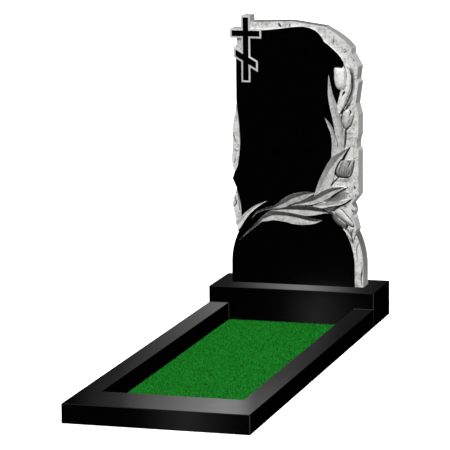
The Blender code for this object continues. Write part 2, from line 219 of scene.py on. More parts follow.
def worked_gabbro(name, mottling):
    """Stone whose grey comes from the mesh, mottled by the tool and its crushed grain."""
    made, tree, shader = new_material(name, 0.85, 1.5)
    place = add_node(tree, "ShaderNodeTexCoord").outputs["Object"]
    # the mesh grey is the tooled grey together with painted shade and painted highlights of the carving and
    # the sides
    grey = add_node(tree, "ShaderNodeAttribute", {"attribute_name": "grey"}).outputs["Fac"]
    grit = add_node(tree, "ShaderNodeAttribute", {"attribute_name": "grit"}).outputs["Fac"]
    cloud = add_node(tree, "ShaderNodeTexNoise", Vector=place, Scale=per_metre(CLOUD),
                     Detail=3.0, Roughness=0.6)
    mottle = add_node(tree, "ShaderNodeTexNoise", Vector=place, Scale=per_metre(MOTTLE),
                      Detail=3.0, Roughness=0.65)
    uneven = add_node(tree, "ShaderNodeMath", {"operation": "ADD"},
                      _0=cloud.outputs["Fac"], _1=mottle.outputs["Fac"])
    lost = add_node(tree, "ShaderNodeMapRange", Value=uneven.outputs[0], To_Min=0.0, To_Max=mottling,
                    From_Min=CLOUDS_SHOW[0], From_Max=CLOUDS_SHOW[1])
    grain = add_node(tree, "ShaderNodeTexNoise", Vector=place, Scale=per_metre(CRUSHED_GRAIN), Detail=1.0)
    grain_lost = add_node(tree, "ShaderNodeMapRange", Value=grain.outputs["Fac"], To_Min=0.0,
                          To_Max=GRAIN_LOSS, From_Min=GRAIN_SHOWS[0], From_Max=GRAIN_SHOWS[1])
    both = add_node(tree, "ShaderNodeMath", {"operation": "ADD"},
                    _0=lost.outputs[0], _1=grain_lost.outputs[0])
    loss = add_node(tree, "ShaderNodeMath", {"operation": "MULTIPLY"}, _0=both.outputs[0], _1=grit)
    kept = add_node(tree, "ShaderNodeMath", {"operation": "SUBTRACT"}, _0=1.0, _1=loss.outputs[0])
    pale = add_node(tree, "ShaderNodeMath", {"operation": "MULTIPLY"}, _0=grey, _1=kept.outputs[0])
    colour = add_node(tree, "ShaderNodeMix", {"data_type": "RGBA"}, _0=pale.outputs[0],
                      _6=linear("#020202"), _7=linear("#fffffe"))
    tree.links.new(colour.outputs[2], shader.inputs["Base Color"])
    dents = add_node(tree, "ShaderNodeTexVoronoi", {"feature": "SMOOTH_F1"}, Vector=place,
                     Scale=per_metre(TOOL_DENT))
    rough = add_node(tree, "ShaderNodeMath", {"operation": "MULTIPLY"},
                     _0=dents.outputs["Distance"], _1=grit)
    heights = add_node(tree, "ShaderNodeMath", {"operation": "ADD"},
                       _0=rough.outputs[0], _1=mottle.outputs["Fac"])
    bump = add_node(tree, "ShaderNodeBump", Height=heights.outputs[0], Strength=0.6, Distance=DENT_DEPTH)
    tree.links.new(bump.outputs["Normal"], shader.inputs["Normal"])
    return made


tooled = worked_gabbro("tooled_gabbro", TOOLED_MOTTLING)
split = worked_gabbro("split_gabbro", SPLIT_MOTTLING)
print("worked stone:", len(tooled.node_tree.nodes), "nodes each")

# %% [markdown]
# ## Sawn gabbro
# The back and the undersides are left as the frame saw made them: dull dark grey with fine
# straight scratches about 3 mm apart. A wave pattern bent a little by noise draws them. They are
# drawn 8 mm apart so that they can show. The wave texture repeats 20 / (2 pi) times a metre for
# each unit of its scale, so the scale is multiplied by the inverse of that.

# %% Sawn gabbro
SAW_MARK = 8.0
SAW_MARK_DEPTH = 0.0002
WAVE_UNIT = 2 * math.pi / 20


def sawn_gabbro():
    """Dull sawn stone with saw marks."""
    made, tree, shader = new_material("sawn_gabbro", 0.62, GABBRO_IOR)
    place = add_node(tree, "ShaderNodeTexCoord").outputs["Object"]
    marks = add_node(tree, "ShaderNodeTexWave", {"bands_direction": "Z"}, Vector=place,
                     Scale=per_metre(SAW_MARK) * WAVE_UNIT, Distortion=1.5, Detail=3.0, Detail_Scale=0.6)
    specks = add_node(tree, "ShaderNodeTexVoronoi", Vector=place, Scale=per_metre(CRYSTAL))
    share = add_node(tree, "ShaderNodeMix", {"data_type": "FLOAT"}, _0=0.4, _2=marks.outputs["Fac"],
                     _3=specks.outputs["Distance"])
    colour = add_node(tree, "ShaderNodeMix", {"data_type": "RGBA"}, _0=share.outputs[0],
                      _6=linear("#232324"), _7=linear("#3c3c3e"))
    tree.links.new(colour.outputs[2], shader.inputs["Base Color"])
    bump = add_node(tree, "ShaderNodeBump", Height=marks.outputs["Fac"], Strength=0.5,
                    Distance=SAW_MARK_DEPTH)
    tree.links.new(bump.outputs["Normal"], shader.inputs["Normal"])
    return made


sawn = sawn_gabbro()
print("sawn stone:", len(sawn.node_tree.nodes), "nodes")

# %% [markdown]
# ## The plinth and the kerb
# These four blocks are right as they come from the CAD, down to the 1.5 mm arris that the mason
# rubs off so that the edge doesn't chip. They only need their finish: polish on every face that
# shows, and the saw's surface underneath. A face is known by the direction it looks in.

# %% Finish the blocks
SAWN_BELOW = -0.9


def finish_block(block):
    """Polish every face of a block but its underside."""
    mesh = block.data
    mesh.materials.clear()
    mesh.materials.append(polished)
    mesh.materials.append(sawn)
    for face in mesh.polygons:
        face.material_index = 1 if face.normal.z < SAWN_BELOW else 0
        face.use_smooth = False
    block.visible_glossy = False


for block_name in ("plinth", "kerb_left", "kerb_right", "kerb_front"):
    finish_block(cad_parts[block_name])
    print(block_name, "has", len(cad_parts[block_name].data.polygons), "faces")

# %% [markdown]
# ## The drawing of the stele
# A stonecutter works from a full-size paper drawing, and so does this script: everything on the
# front is drawn in millimetres, u across from the middle and v up from the foot. Curves are
# given by a few points and smoothed, and the arches are parts of ellipses. The front edge
# follows the same lines as the CAD solid, only with its points closer together, apart from the
# right side, whose small difference is told where the outline is put together.

# %% Lines of the outline and the panels
DRAWN_WIDTH = 400.0
DRAWN_HEIGHT = 795.0
CURVE_STEP = 2.5
ARCH_CENTRE = -12.5
ARCH_SPRING = 60.0
ARCH_HALF_WIDTH = 187.5
ARCH_RISE = 200.0
ARCH_MARGIN = 25.0
ARCH_MARGIN_RISE = 22.0
LEFT_SHOULDER = 150.0
RIGHT_SHOULDER = 160.0
ARCH_TOP_SEEN = 216.0
LEFT_SPLIT_LOW = [(-187, 175), (-195, 216), (-198, 234), (-193, 256), (-184, 284)]
POLISHED_TIP = (-196, 312)
LEFT_SPLIT_HIGH = [(-190, 330), (-199.5, 362), (-197, 404), (-197, 440), (-195, 474), (-187, 514),
                   (-182.5, 545)]
LEFT_MARGIN_LOW = [(-184, 284), (-178, 264), (-172, 240), (-170, 218), (-170, 200)]
LEFT_MARGIN_HIGH = [(-190, 330), (-180, 351), (-174, 392), (-172, 426), (-174, 470), (-178, 508),
                    (-182.5, 545)]
NOTCH_ABOVE_FOOTREST = [(-184, 1), (-181, 13)]
TOP_FACETS = [(-138.5, 777), (-93, 778), (-16, 781), (43, 773), (87, 767), (120, 746), (148, 725),
              (166, 706)]
RIGHT_FACETS = [(166, 689), (187, 652), (183, 615), (188.5, 606), (180, 544), (188.5, 511),
                (188, 452), (183, 435), (183, 414), (188, 405), (188, 275), (166, 248), (173, 228),
                (169.5, 213), (180, 172), (175, 161)]
PANEL_TOP = [(-93, 754), (-49, 759), (-6, 765), (24, 766), (52, 759), (72, 744), (85, 724)]
PANEL_SHOULDER = [(85, 724), (103, 710), (127, 688), (140, 670), (146, 656)]
PANEL_BEHIND_LEAVES = [(140, 620), (134, 585), (127, 555), (123, 538), (122, 490), (126, 455),
                       (118, 420), (112, 385), (98, 345), (82, 310), (66, 275), (60, 250), (76, 236)]
print("split facets:", len(TOP_FACETS) + len(RIGHT_FACETS), "corners along the top and the right side")


# %% Smooth curves and arches
def smooth_rows(rows, step):
    """Points on a Catmull-Rom curve through the rows, about one step apart; any number of columns."""
    rows = np.array(rows, float)
    padded = np.vstack([2 * rows[0] - rows[1], rows, 2 * rows[-1] - rows[-2]])
    found = []
    for a, b, c, d in zip(padded, padded[1:], padded[2:], padded[3:]):
        pieces = max(1, int(round(np.hypot(*(c - b)[:2]) / step)))
        t = np.linspace(0, 1, pieces, endpoint=False)[:, None]
        found.append(b + 0.5 * t * (c - a + t * (2 * a - 5 * b + 4 * c - d + t * (3 * (b - c) + d - a))))
    return np.vstack(found + [rows[-1:]])


def arch(half_width, rise, shoulder, side):
    """Points up one side of an elliptical arch, from its spring to the height of the shoulder."""
    top = np.arcsin((shoulder - ARCH_SPRING) / rise)
    turns = np.linspace(0, top, max(3, int(half_width * top / CURVE_STEP)))
    return [(ARCH_CENTRE + side * half_width * np.cos(a), ARCH_SPRING + rise * np.sin(a)) for a in turns]


print("arch:", len(arch(ARCH_HALF_WIDTH, ARCH_RISE, LEFT_SHOULDER, -1)), "points up its left side")

# %% [markdown]
# ## The cross
# The cross is drawn from its middle lines: an upright, a straight bar, and a footrest that slants
# down to the right. Its polished face has a pale tooled edge 5 mm wide all round. That edge is
# the same outline moved outwards, with mitred corners, so one function serves both it and the
# narrow cuts beside every leaf.

# %% Lines of the cross
CROSS_BEAM_CENTRE = -152.5
CROSS_ARM = 15.5
CROSS_EDGE = 6.0
CROSS_FACE_GROWN = 0.75
CROSSBAR_HALF_LENGTH = 41.5
FOOTREST_HALF_LENGTH = 30.5
FOOTREST_SLOPE = -0.58
CROSS_TOP = DRAWN_HEIGHT - CROSS_EDGE
CROSSBAR_MIDDLE = CROSS_TOP - 46.5
FOOTREST_MIDDLE = CROSSBAR_MIDDLE - 75.5
CROSS_FOOT = FOOTREST_MIDDLE - 62.0
WELD = 0.06
MITRE_LIMIT = 3.0


def cross_face():
    """Outline of the cross, clockwise from its top left corner."""
    left = CROSS_BEAM_CENTRE - CROSS_ARM / 2
    right = CROSS_BEAM_CENTRE + CROSS_ARM / 2
    bar_low = CROSSBAR_MIDDLE - CROSS_ARM / 2
    bar_high = CROSSBAR_MIDDLE + CROSS_ARM / 2
    bar_left = CROSS_BEAM_CENTRE - CROSSBAR_HALF_LENGTH
    bar_right = CROSS_BEAM_CENTRE + CROSSBAR_HALF_LENGTH
    rest_half = CROSS_ARM / 2 * np.hypot(1, FOOTREST_SLOPE)
    rest_left = CROSS_BEAM_CENTRE - FOOTREST_HALF_LENGTH
    rest_right = CROSS_BEAM_CENTRE + FOOTREST_HALF_LENGTH

    def rest(u, side):
        return (u, FOOTREST_MIDDLE + FOOTREST_SLOPE * (u - CROSS_BEAM_CENTRE) + side * rest_half)

    return np.array([
        (left, CROSS_TOP), (right, CROSS_TOP),
        (right, bar_high), (bar_right, bar_high), (bar_right, bar_low), (right, bar_low),
        rest(right, 1), rest(rest_right, 1), rest(rest_right, -1), rest(right, -1),
        (right, CROSS_FOOT), (left, CROSS_FOOT),
        rest(left, -1), rest(rest_left, -1), rest(rest_left, 1), rest(left, 1),
        (left, bar_low), (bar_left, bar_low), (bar_left, bar_high), (left, bar_high)])


def grown(polygon, distance):
    """The clockwise polygon with every side moved outwards, corners mitred up to a limit."""
    apart = np.linalg.norm(polygon - np.roll(polygon, 1, axis=0), axis=1)
    polygon = polygon[apart > WELD]
    before = polygon - np.roll(polygon, 1, axis=0)
    after = np.roll(polygon, -1, axis=0) - polygon
    before /= np.linalg.norm(before, axis=1)[:, None]
    after /= np.linalg.norm(after, axis=1)[:, None]
    middle = np.column_stack([-before[:, 1] - after[:, 1], before[:, 0] + after[:, 0]])
    size = np.linalg.norm(middle, axis=1)
    reach = np.minimum(2 / size, MITRE_LIMIT)
    return polygon + distance * (reach / size)[:, None] * middle


print("cross:", round(CROSS_TOP - CROSS_FOOT), "mm tall on", round(2 * CROSSBAR_HALF_LENGTH), "mm of bar")

# %% [markdown]
# ## Whole outline and polished area
# With those parts the two closed lines can be put together. The outline runs up the left side,
# round the cross, over the split facets of the top and down the right side. The polished area
# is the lower arch and the upper panel; what lies between it and the outline is cut 6 mm back.
# The right side wasn't split square: its front edge lies a millimetre or three further in than
# the drawing says, so the side leans and shows a little wider.

# %% Outline and polished area
RIGHT_SIDE_FROM = 90.0
RIGHT_SIDE_FULL = 130.0
FRONT_INSET = [(150, 0.8), (270, 2.7), (600, 2.7), (660, 1.0)]


def divided(line, step):
    """A closed line with every long side cut into pieces of about one step."""
    found = []
    for start, end in zip(line, np.roll(line, -1, axis=0)):
        pieces = max(1, int(round(np.hypot(*(end - start)) / step)))
        found += [start + (end - start) * i / pieces for i in range(pieces)]
    return np.array(found)


def stele_outline():
    """The whole front outline, clockwise from the foot of the left side."""
    edge = grown(cross_face(), CROSS_EDGE)
    outline = [(-DRAWN_WIDTH / 2, 0)]
    outline += arch(ARCH_HALF_WIDTH, ARCH_RISE, LEFT_SHOULDER, -1)
    outline += list(smooth_rows(LEFT_SPLIT_LOW, CURVE_STEP)) + [POLISHED_TIP]
    outline += list(smooth_rows(LEFT_SPLIT_HIGH, CURVE_STEP))
    footrest_low, footrest_high = edge[13], edge[14]
    sawn_edge = LEFT_SPLIT_HIGH[-1][0]
    meets = footrest_low[1] + FOOTREST_SLOPE * (sawn_edge - footrest_low[0])
    outline += [(sawn_edge, meets), footrest_low, footrest_high]
    outline += [(u, footrest_high[1] + rise) for u, rise in NOTCH_ABOVE_FOOTREST]
    outline += [(NOTCH_ABOVE_FOOTREST[-1][0], edge[17][1]), edge[17], edge[18], edge[19], edge[0], edge[1]]
    outline += TOP_FACETS + RIGHT_FACETS
    outline += arch(ARCH_HALF_WIDTH + ARCH_MARGIN, ARCH_RISE + ARCH_MARGIN_RISE, RIGHT_SHOULDER, 1)[::-1]
    outline += [(DRAWN_WIDTH / 2, 0)]
    return divided(np.array(outline, float), CURVE_STEP)


def polished_outline():
    """The polished area before the leaves are carved over it, clockwise from the foot of the left side."""
    area = [(-DRAWN_WIDTH / 2, 0)]
    area += arch(ARCH_HALF_WIDTH, ARCH_RISE, LEFT_SHOULDER, -1)
    area += list(smooth_rows(LEFT_MARGIN_LOW, CURVE_STEP))[::-1] + [POLISHED_TIP]
    area += list(smooth_rows(LEFT_MARGIN_HIGH, CURVE_STEP))
    area += [(LEFT_SPLIT_HIGH[-1][0], FOOTREST_MIDDLE), (CROSS_BEAM_CENTRE, FOOTREST_MIDDLE)]
    area += [(CROSS_BEAM_CENTRE, CROSSBAR_MIDDLE + CROSS_ARM / 2)]
    area += list(smooth_rows(PANEL_TOP, CURVE_STEP)) + list(smooth_rows(PANEL_SHOULDER, CURVE_STEP))[1:]
    area += PANEL_BEHIND_LEAVES
    area += arch(ARCH_HALF_WIDTH, ARCH_RISE, ARCH_TOP_SEEN, 1)[::-1]
    area += [(ARCH_CENTRE + ARCH_HALF_WIDTH, 0)]
    return np.array(area, float)


def right_share(u):
    """How much a point belongs to the right side, from 0 to 1."""
    return np.clip((u - RIGHT_SIDE_FROM) / (RIGHT_SIDE_FULL - RIGHT_SIDE_FROM), 0, 1)


OUTLINE = stele_outline()
OUTLINE[:, 0] -= np.interp(OUTLINE[:, 1], *zip(*FRONT_INSET)) * right_share(OUTLINE[:, 0])
POLISHED_AREA = polished_outline()
CROSS_FACE = grown(cross_face(), CROSS_FACE_GROWN)
CROSS_RIM = grown(cross_face(), CROSS_EDGE)
print("outline:", len(OUTLINE), "points; polished area:", len(POLISHED_AREA))

# %% [markdown]
# ## Leaves and petals
# Every leaf is a row of stations along its midrib: where the rib is, and how wide the leaf is on
# its left and right. A second table holds its grey, from 0 for black to 1 for white: left of the
# rib at the base and at the tip, then right of it. Most leaves get a darker grey on one side than
# on the other: painted shade on one slope of the channel, added to the real shading of the
# channel itself, and that is what makes them read from across a graveyard. Petals and buds are
# domes on the floor of the margin, so their closed outline is enough, drawn clockwise from their
# base, with one grey each.

# %% Leaf rows
LEAVES = {
    "low_left": [(-192, 160, 9, 12), (-180, 174, 10, 11), (-164, 194, 8, 8), (-147, 212, 6, 6),
                 (-129, 227, 4.5, 4.5), (-108, 239.5, 2, 2), (-90, 248, 0, 0)],
    "thin_left": [(110, 378, 5, 6), (112, 405, 5.5, 6), (112.5, 432, 5.5, 7), (108, 458, 5.5, 7),
                  (98, 481, 4.5, 5), (86, 502, 0, 0)],
    "tall": [(131, 384, 22, 14), (132, 410, 20, 14), (132.5, 440, 14.5, 14.5), (129, 470, 14, 14.5),
             (121, 503, 12.5, 13), (111.5, 537, 11, 11.5), (104, 566, 8, 8), (100, 598, 4, 4.2),
             (98, 628, 0, 0)],
    "hook_stem": [(128, 518, 2.5, 4), (129, 536, 5, 5), (134, 555, 5.5, 6), (138, 571, 5, 5.5),
                  (141, 585, 4.5, 5)],
    "hook": [(129, 516, 2, 2.5), (137, 538, 4, 4.5), (143, 555, 5, 5), (150, 573, 5.5, 5.5),
             (156, 594, 6, 6), (159.5, 616, 6, 6), (158, 633, 5.5, 5.5), (153, 648, 4.5, 4.5),
             (144, 661, 0, 0)],
    "broad": [(56, 258, 8, 26), (63, 276, 8, 26), (80, 310, 13, 25), (98, 344, 14, 20),
              (118, 372, 16, 10), (140, 395, 9, 6), (161, 417, 0, 0)],
    "sweep_back": [(-138, 193, 0, 0), (-131, 203, 1.6, 1.6), (-120, 213.5, 2.2, 2.2),
                   (-101, 221.5, 3, 3), (-82, 227, 4, 4), (-63, 232, 6, 6), (-42, 241, 12, 11),
                   (-20, 254, 13.5, 13), (5, 264, 13, 14), (30, 273, 7, 11), (57, 278, 0, 1)],
    "sweep_low": [(-179, 125, 0, 0), (-149, 154, 2, 2), (-127, 173, 3.5, 3), (-108, 190, 7, 6),
                  (-92, 198, 12, 11), (-72, 205, 15, 14), (-38, 205, 14, 17), (-9, 202, 13, 20),
                  (16, 197, 11, 17), (40, 193, 9, 10.5), (60, 192, 7, 4), (77, 197, 0, 0)],
    "sweep_top": [(-20, 237, 0, 0), (21, 245, 8, 5), (45, 252, 13, 10), (69, 263, 13, 12.5),
                  (89, 275, 13, 13.5), (113, 286, 9.5, 10), (134, 293, 4.5, 5), (149, 295.5, 0, 0)],
    "sweep_mid": [(46, 238, 0, 0), (79, 240, 8, 8), (108, 244, 7, 7), (134, 251, 5, 5.5),
                  (163, 262, 0, 0)],
    "sweep_flat": [(-84, 219.5, 0, 0), (-58, 222, 4, 4), (-30, 224, 9, 8), (-8, 224, 12.5, 11),
                   (31, 224, 14, 16), (60, 222, 11, 10), (82, 221, 4, 4), (98, 219, 0, 0)],
    "bud_leaf": [(142, 179, 3, 5), (152, 168, 6, 6), (163, 151, 4, 4), (171, 135, 0, 0)],
}
# greys for each side of the rib; the darker side of a leaf is painted shade
LEAF_GREYS_WITH_PAINTED_SHADE = {
    "low_left": (0.92, 0.88, 0.86, 0.84),
    "thin_left": (0.76, 0.74, 0.70, 0.66),
    "tall": (0.80, 0.74, 0.76, 0.70),
    "hook_stem": (0.92, 0.94, 0.90, 0.88),
    "hook": (0.96, 0.96, 0.90, 0.90),
    "broad": (0.80, 0.50, 0.80, 0.80),
    "sweep_back": (0.44, 0.46, 0.62, 0.66),
    "sweep_low": (0.54, 0.30, 0.72, 0.72),
    "sweep_top": (0.40, 0.52, 0.68, 0.70),
    "sweep_mid": (0.76, 0.80, 0.76, 0.80),
    "sweep_flat": (0.36, 0.30, 0.72, 0.72),
    "bud_leaf": (0.60, 0.64, 0.84, 0.74),
}
print(len(LEAVES), "leaves and stems")

# %% Petal rows
PETALS = {
    "bud_high": [(135, 582), (128, 583), (120, 589), (115, 602), (113, 623), (113, 647), (118, 650.5),
                 (123, 651), (132, 650.5), (139, 650), (142, 659), (145, 650), (148, 640), (149, 619),
                 (148, 598), (143, 586)],
    "bud_small": [(151, 470), (144, 471), (141, 483), (140, 504), (143, 518), (147, 524), (152, 526),
                  (158, 525), (161, 519), (162, 514.5), (166, 516), (169, 513), (168, 505), (166, 497),
                  (163, 487), (159, 478)],
    "bud_open": [(134, 327), (123, 329), (118, 336), (118, 345), (122, 356), (130, 371), (136, 379),
                 (141, 374), (147, 376), (153, 380), (158, 382), (162, 380), (165, 376), (168, 373),
                 (172, 379), (170, 363), (166, 347), (159, 335), (150, 327)],
    "bud_low_under": [(146, 172), (134, 177), (120, 187), (109, 200), (107, 211), (110, 219),
                      (117, 214), (128, 200), (146, 187), (149, 178)],
    "bud_low": [(168, 181), (160, 184), (148, 192), (134, 201), (120, 212), (115, 218), (115, 224),
                (120, 230), (130, 230), (140, 221), (152, 208), (164, 195), (171, 184)],
}
PETAL_GREYS = {
    "bud_high": 0.98,
    "bud_small": 0.82,
    "bud_open": 0.64,
    "bud_low_under": 0.41,
    "bud_low": 0.78,
}
CARVING_ORDER = ["low_left", "thin_left", "tall", "hook_stem", "bud_high", "hook", "bud_small", "broad",
                 "sweep_back", "sweep_low", "sweep_top", "sweep_mid", "sweep_flat", "bud_open",
                 "bud_leaf", "bud_low_under", "bud_low"]
print(len(PETALS), "petals and buds")

# %% [markdown]
# ## Chisel cuts
# What makes the flowers stand out is a last pass with a narrow chisel: short cuts beside a bud,
# along a stem or under a leaf, 2 to 8 mm wide and swelling in the middle like pen strokes. They
# are real grooves, but their dark grey is painted shade. Each is a row of stations again: where
# it runs, half the width of its floor, and the grey it ends up with. Its shoulders add 0.7 mm on
# each side, softened by the abrasive. A wider hollow, where the ground was sunk and left rough,
# is drawn in the same way, with a width for each side, and its darker grey is painted shade too.
# Tints change only the grey: a painted highlight on the light curl of a petal, or painted shade
# under a leaf. Margin marks are grooves that the point left.

# %% Rows of the cuts
# the dark greys along these cuts are painted shade in real grooves
CUTS_WITH_PAINTED_SHADE = [
    [(159, 649, 0.4, 0.50), (166, 630, 1.6, 0.36), (168, 614, 2.2, 0.30), (168, 593, 2.2, 0.26),
     (163, 574, 2.4, 0.22), (154, 553, 2.2, 0.20), (146, 536, 2.0, 0.18), (137, 520, 1.8, 0.14),
     (131, 511, 0.8, 0.20)],
    [(138, 566, 0.4, 0.30), (143, 575, 3.0, 0.08), (148, 582, 0.6, 0.30)],
    [(129, 514, 0.2, 0.45), (133, 496, 0.5, 0.42), (137, 472, 0.6, 0.42), (139, 455, 0.2, 0.50)],
    [(143, 526, 0.4, 0.30), (138, 516, 1.8, 0.14), (136, 504, 1.4, 0.20), (138, 488, 0.7, 0.34),
     (143, 470, 1.0, 0.28)],
    [(171, 512, 0.8, 0.40), (169, 499, 1.6, 0.28), (164, 483, 1.5, 0.24), (158, 474, 1.5, 0.22),
     (150, 467, 2.0, 0.14)],
    [(154, 537, 1.0, 0.40), (152, 532, 2.2, 0.22), (147, 527, 1.6, 0.26), (143, 520, 1.3, 0.30)],
    [(161, 543, 1.0, 0.50), (160, 539, 1.8, 0.38), (160, 535, 1.0, 0.50)],
    [(158, 526, 1.2, 0.45), (163, 519, 1.8, 0.22), (160, 511, 1.2, 0.35), (158, 503, 0.7, 0.55)],
    [(110, 470, 0.2, 0.45), (114, 457, 0.6, 0.38), (119, 444, 0.8, 0.34), (122, 433, 0.7, 0.36),
     (124, 423, 0.4, 0.48), (124, 410, 0.0, 0.64)],
    [(150, 470, 2.0, 0.30), (148, 464, 2.4, 0.28), (148, 450, 2.6, 0.33), (147, 436, 2.6, 0.33),
     (146, 425, 2.4, 0.33), (144, 413, 1.8, 0.38)],
    [(161, 416, 0.5, 0.30), (154, 405, 2.2, 0.12), (148, 395, 3.2, 0.06), (142, 384, 3.4, 0.05),
     (137, 375, 1.4, 0.15)],
    [(136, 381, 0.4, 0.25), (129, 371, 1.2, 0.10), (121, 357, 1.4, 0.12), (117, 345, 1.4, 0.16),
     (117, 334, 2.2, 0.10), (124, 327, 2.0, 0.14), (136, 325, 1.8, 0.18), (152, 325, 2.0, 0.18),
     (162, 333, 1.8, 0.20), (168, 347, 1.6, 0.22), (171, 362, 1.2, 0.25), (173, 377, 0.4, 0.38)],
    [(126, 342, 0.2, 0.30), (129, 351, 0.5, 0.20), (136, 364, 0.7, 0.14), (142, 374, 0.3, 0.25)],
    [(154, 352, 0.2, 0.30), (157, 362, 0.8, 0.18), (162, 372, 1.0, 0.12), (164, 377, 0.3, 0.30)],
    [(153, 371, 0.3, 0.30), (157, 374, 0.8, 0.18), (161, 371, 0.3, 0.30)],
    [(126, 325, 1.6, 0.18), (117, 317, 2.2, 0.20), (110, 309, 2.2, 0.20), (103, 299, 1.6, 0.14)],
    [(154, 296, 1.6, 0.20), (146, 292, 1.8, 0.12), (134, 286, 1.5, 0.12), (122, 279, 1.6, 0.10),
     (108, 269, 2.2, 0.10), (101, 262, 1.0, 0.30)],
    [(165, 262, 1.2, 0.30), (158, 257, 1.8, 0.12), (146, 248, 2.0, 0.08), (132, 242, 1.8, 0.15),
     (117, 239, 1.3, 0.15), (100, 236, 1.2, 0.15), (80, 231, 0.7, 0.20)],
    [(128, 232, 0.4, 0.45), (136, 229, 1.0, 0.34), (143, 222, 1.1, 0.30), (152, 212, 1.0, 0.30),
     (162, 200, 0.9, 0.34), (169, 191, 0.8, 0.36), (172, 183, 0.8, 0.30), (168, 179, 1.2, 0.16),
     (160, 181, 1.2, 0.14)],
    [(117, 215, 0.0, 0.40), (125, 206, 0.4, 0.32), (134, 199, 0.5, 0.28), (141, 194, 0.7, 0.24),
     (147, 188, 0.9, 0.16), (154, 184, 1.1, 0.14), (160, 182, 0.8, 0.20)],
    [(147, 190, 0.4, 0.20), (151, 183, 3.2, 0.10), (150, 177, 2.4, 0.16), (146, 170, 0.4, 0.35)],
    [(158, 180, 0.6, 0.20), (160, 172, 0.4, 0.40), (163, 160, 0.5, 0.36), (167, 148, 0.8, 0.28),
     (170, 136, 1.6, 0.14)],
    [(177, 164, 0.6, 0.45), (175, 152, 0.8, 0.40), (172, 141, 1.2, 0.22)],
    [(113, 204, 0.0, 0.45), (119, 196, 0.6, 0.34), (127, 187, 0.1, 0.42)],
]
print(len(CUTS_WITH_PAINTED_SHADE), "chisel cuts")

# %% Rows of the hollow and the tints
# the hollow is a real shallow sink whose darker grey is painted shade
HOLLOWS_WITH_PAINTED_SHADE = [
    [(88, 250, 1, 1, 0.48), (103, 257, 7, 8, 0.46), (120, 264, 11, 13, 0.46), (135, 270, 12, 13, 0.54),
     (147, 274, 11, 11, 0.64), (158, 277, 2, 2, 0.80)],
]
# tints are painted highlights where their grey is near 1 and painted shade where it is dark
PAINTED_SHADE_AND_HIGHLIGHT_TINTS = [
    [(80, 231, 0.6, 0.55), (90, 227, 3.0, 0.50), (100, 221, 4.0, 0.32), (108, 214, 3.0, 0.24)],
    [(98, 229, 1.0, 0.36), (108, 227, 4.0, 0.26), (118, 233, 3.4, 0.24), (127, 238, 2.0, 0.26),
     (134, 242, 0.4, 0.30)],
    [(148, 180, 0.5, 0.50), (153, 174, 3.0, 0.62), (158, 163, 2.4, 0.70), (163, 150, 0.4, 0.70)],
    [(137, 182, 0.4, 0.70), (143, 175, 1.4, 0.74), (148, 168, 0.4, 0.74)],
    [(136, 240, 0.6, 0.76), (145, 240, 3.0, 0.68), (152, 244, 2.0, 0.72), (158, 250, 0.4, 0.80)],
    [(160, 656, 0.5, 0.70), (168, 635, 3.2, 0.62), (171, 614, 3.8, 0.58), (171, 592, 3.8, 0.58),
     (166, 570, 3.4, 0.60), (158, 550, 3.0, 0.62), (151, 536, 2.0, 0.66)],
    [(149, 522, 0.5, 0.60), (152, 532, 4.0, 0.50), (157, 542, 3.4, 0.58), (162, 551, 0.5, 0.74)],
    [(112, 312, 0.5, 0.76), (130, 316, 4.5, 0.70), (150, 317, 4.5, 0.68), (166, 326, 2.0, 0.76)],
    [(122, 345, 0.2, 0.70), (127, 357, 0.7, 0.90), (134, 372, 0.7, 0.94)],
    [(156, 353, 0.2, 0.70), (162, 363, 0.8, 0.92), (168, 373, 0.4, 0.96)],
    [(152, 378, 0.2, 0.85), (157, 380, 0.8, 1.00), (162, 378, 0.4, 0.90)],
    [(127, 331, 0.0, 0.40), (130, 347, 0.5, 0.28), (133, 357, 0.0, 0.40)],
    [(134, 329, 0.0, 0.36), (137, 348, 0.5, 0.30), (141, 362, 0.0, 0.44)],
    [(142, 329, 0.0, 0.36), (144, 346, 0.5, 0.30), (147, 366, 0.0, 0.46)],
    [(150, 330, 0.0, 0.36), (150, 345, 0.5, 0.28), (152, 358, 0.0, 0.44)],
    [(157, 335, 0.0, 0.30), (158, 344, 0.6, 0.26), (159, 352, 0.0, 0.40)],
    [(163, 343, 0.0, 0.30), (165, 352, 0.6, 0.26), (167, 362, 0.0, 0.40)],
    [(111, 301, 0.0, 0.86), (118, 307, 1.2, 0.94), (128, 310, 1.8, 0.96), (137, 308, 1.2, 0.94),
     (142, 303, 0.0, 0.86)],
    [(145, 518, 0.2, 0.94), (149, 523, 1.0, 1.00), (156, 522, 0.2, 0.94)],
    [(162, 511, 0.2, 0.90), (166, 513, 0.8, 1.00), (168, 509, 0.2, 0.90)],
    [(153, 482, 0.6, 0.72), (158, 493, 1.8, 0.62), (163, 504, 1.2, 0.64)],
    [(143, 592, 0.6, 0.84), (146, 612, 1.6, 0.70), (146, 634, 1.2, 0.70), (143, 652, 0.2, 0.84)],
]
print(len(HOLLOWS_WITH_PAINTED_SHADE), "hollow and", len(PAINTED_SHADE_AND_HIGHLIGHT_TINTS), "tints")

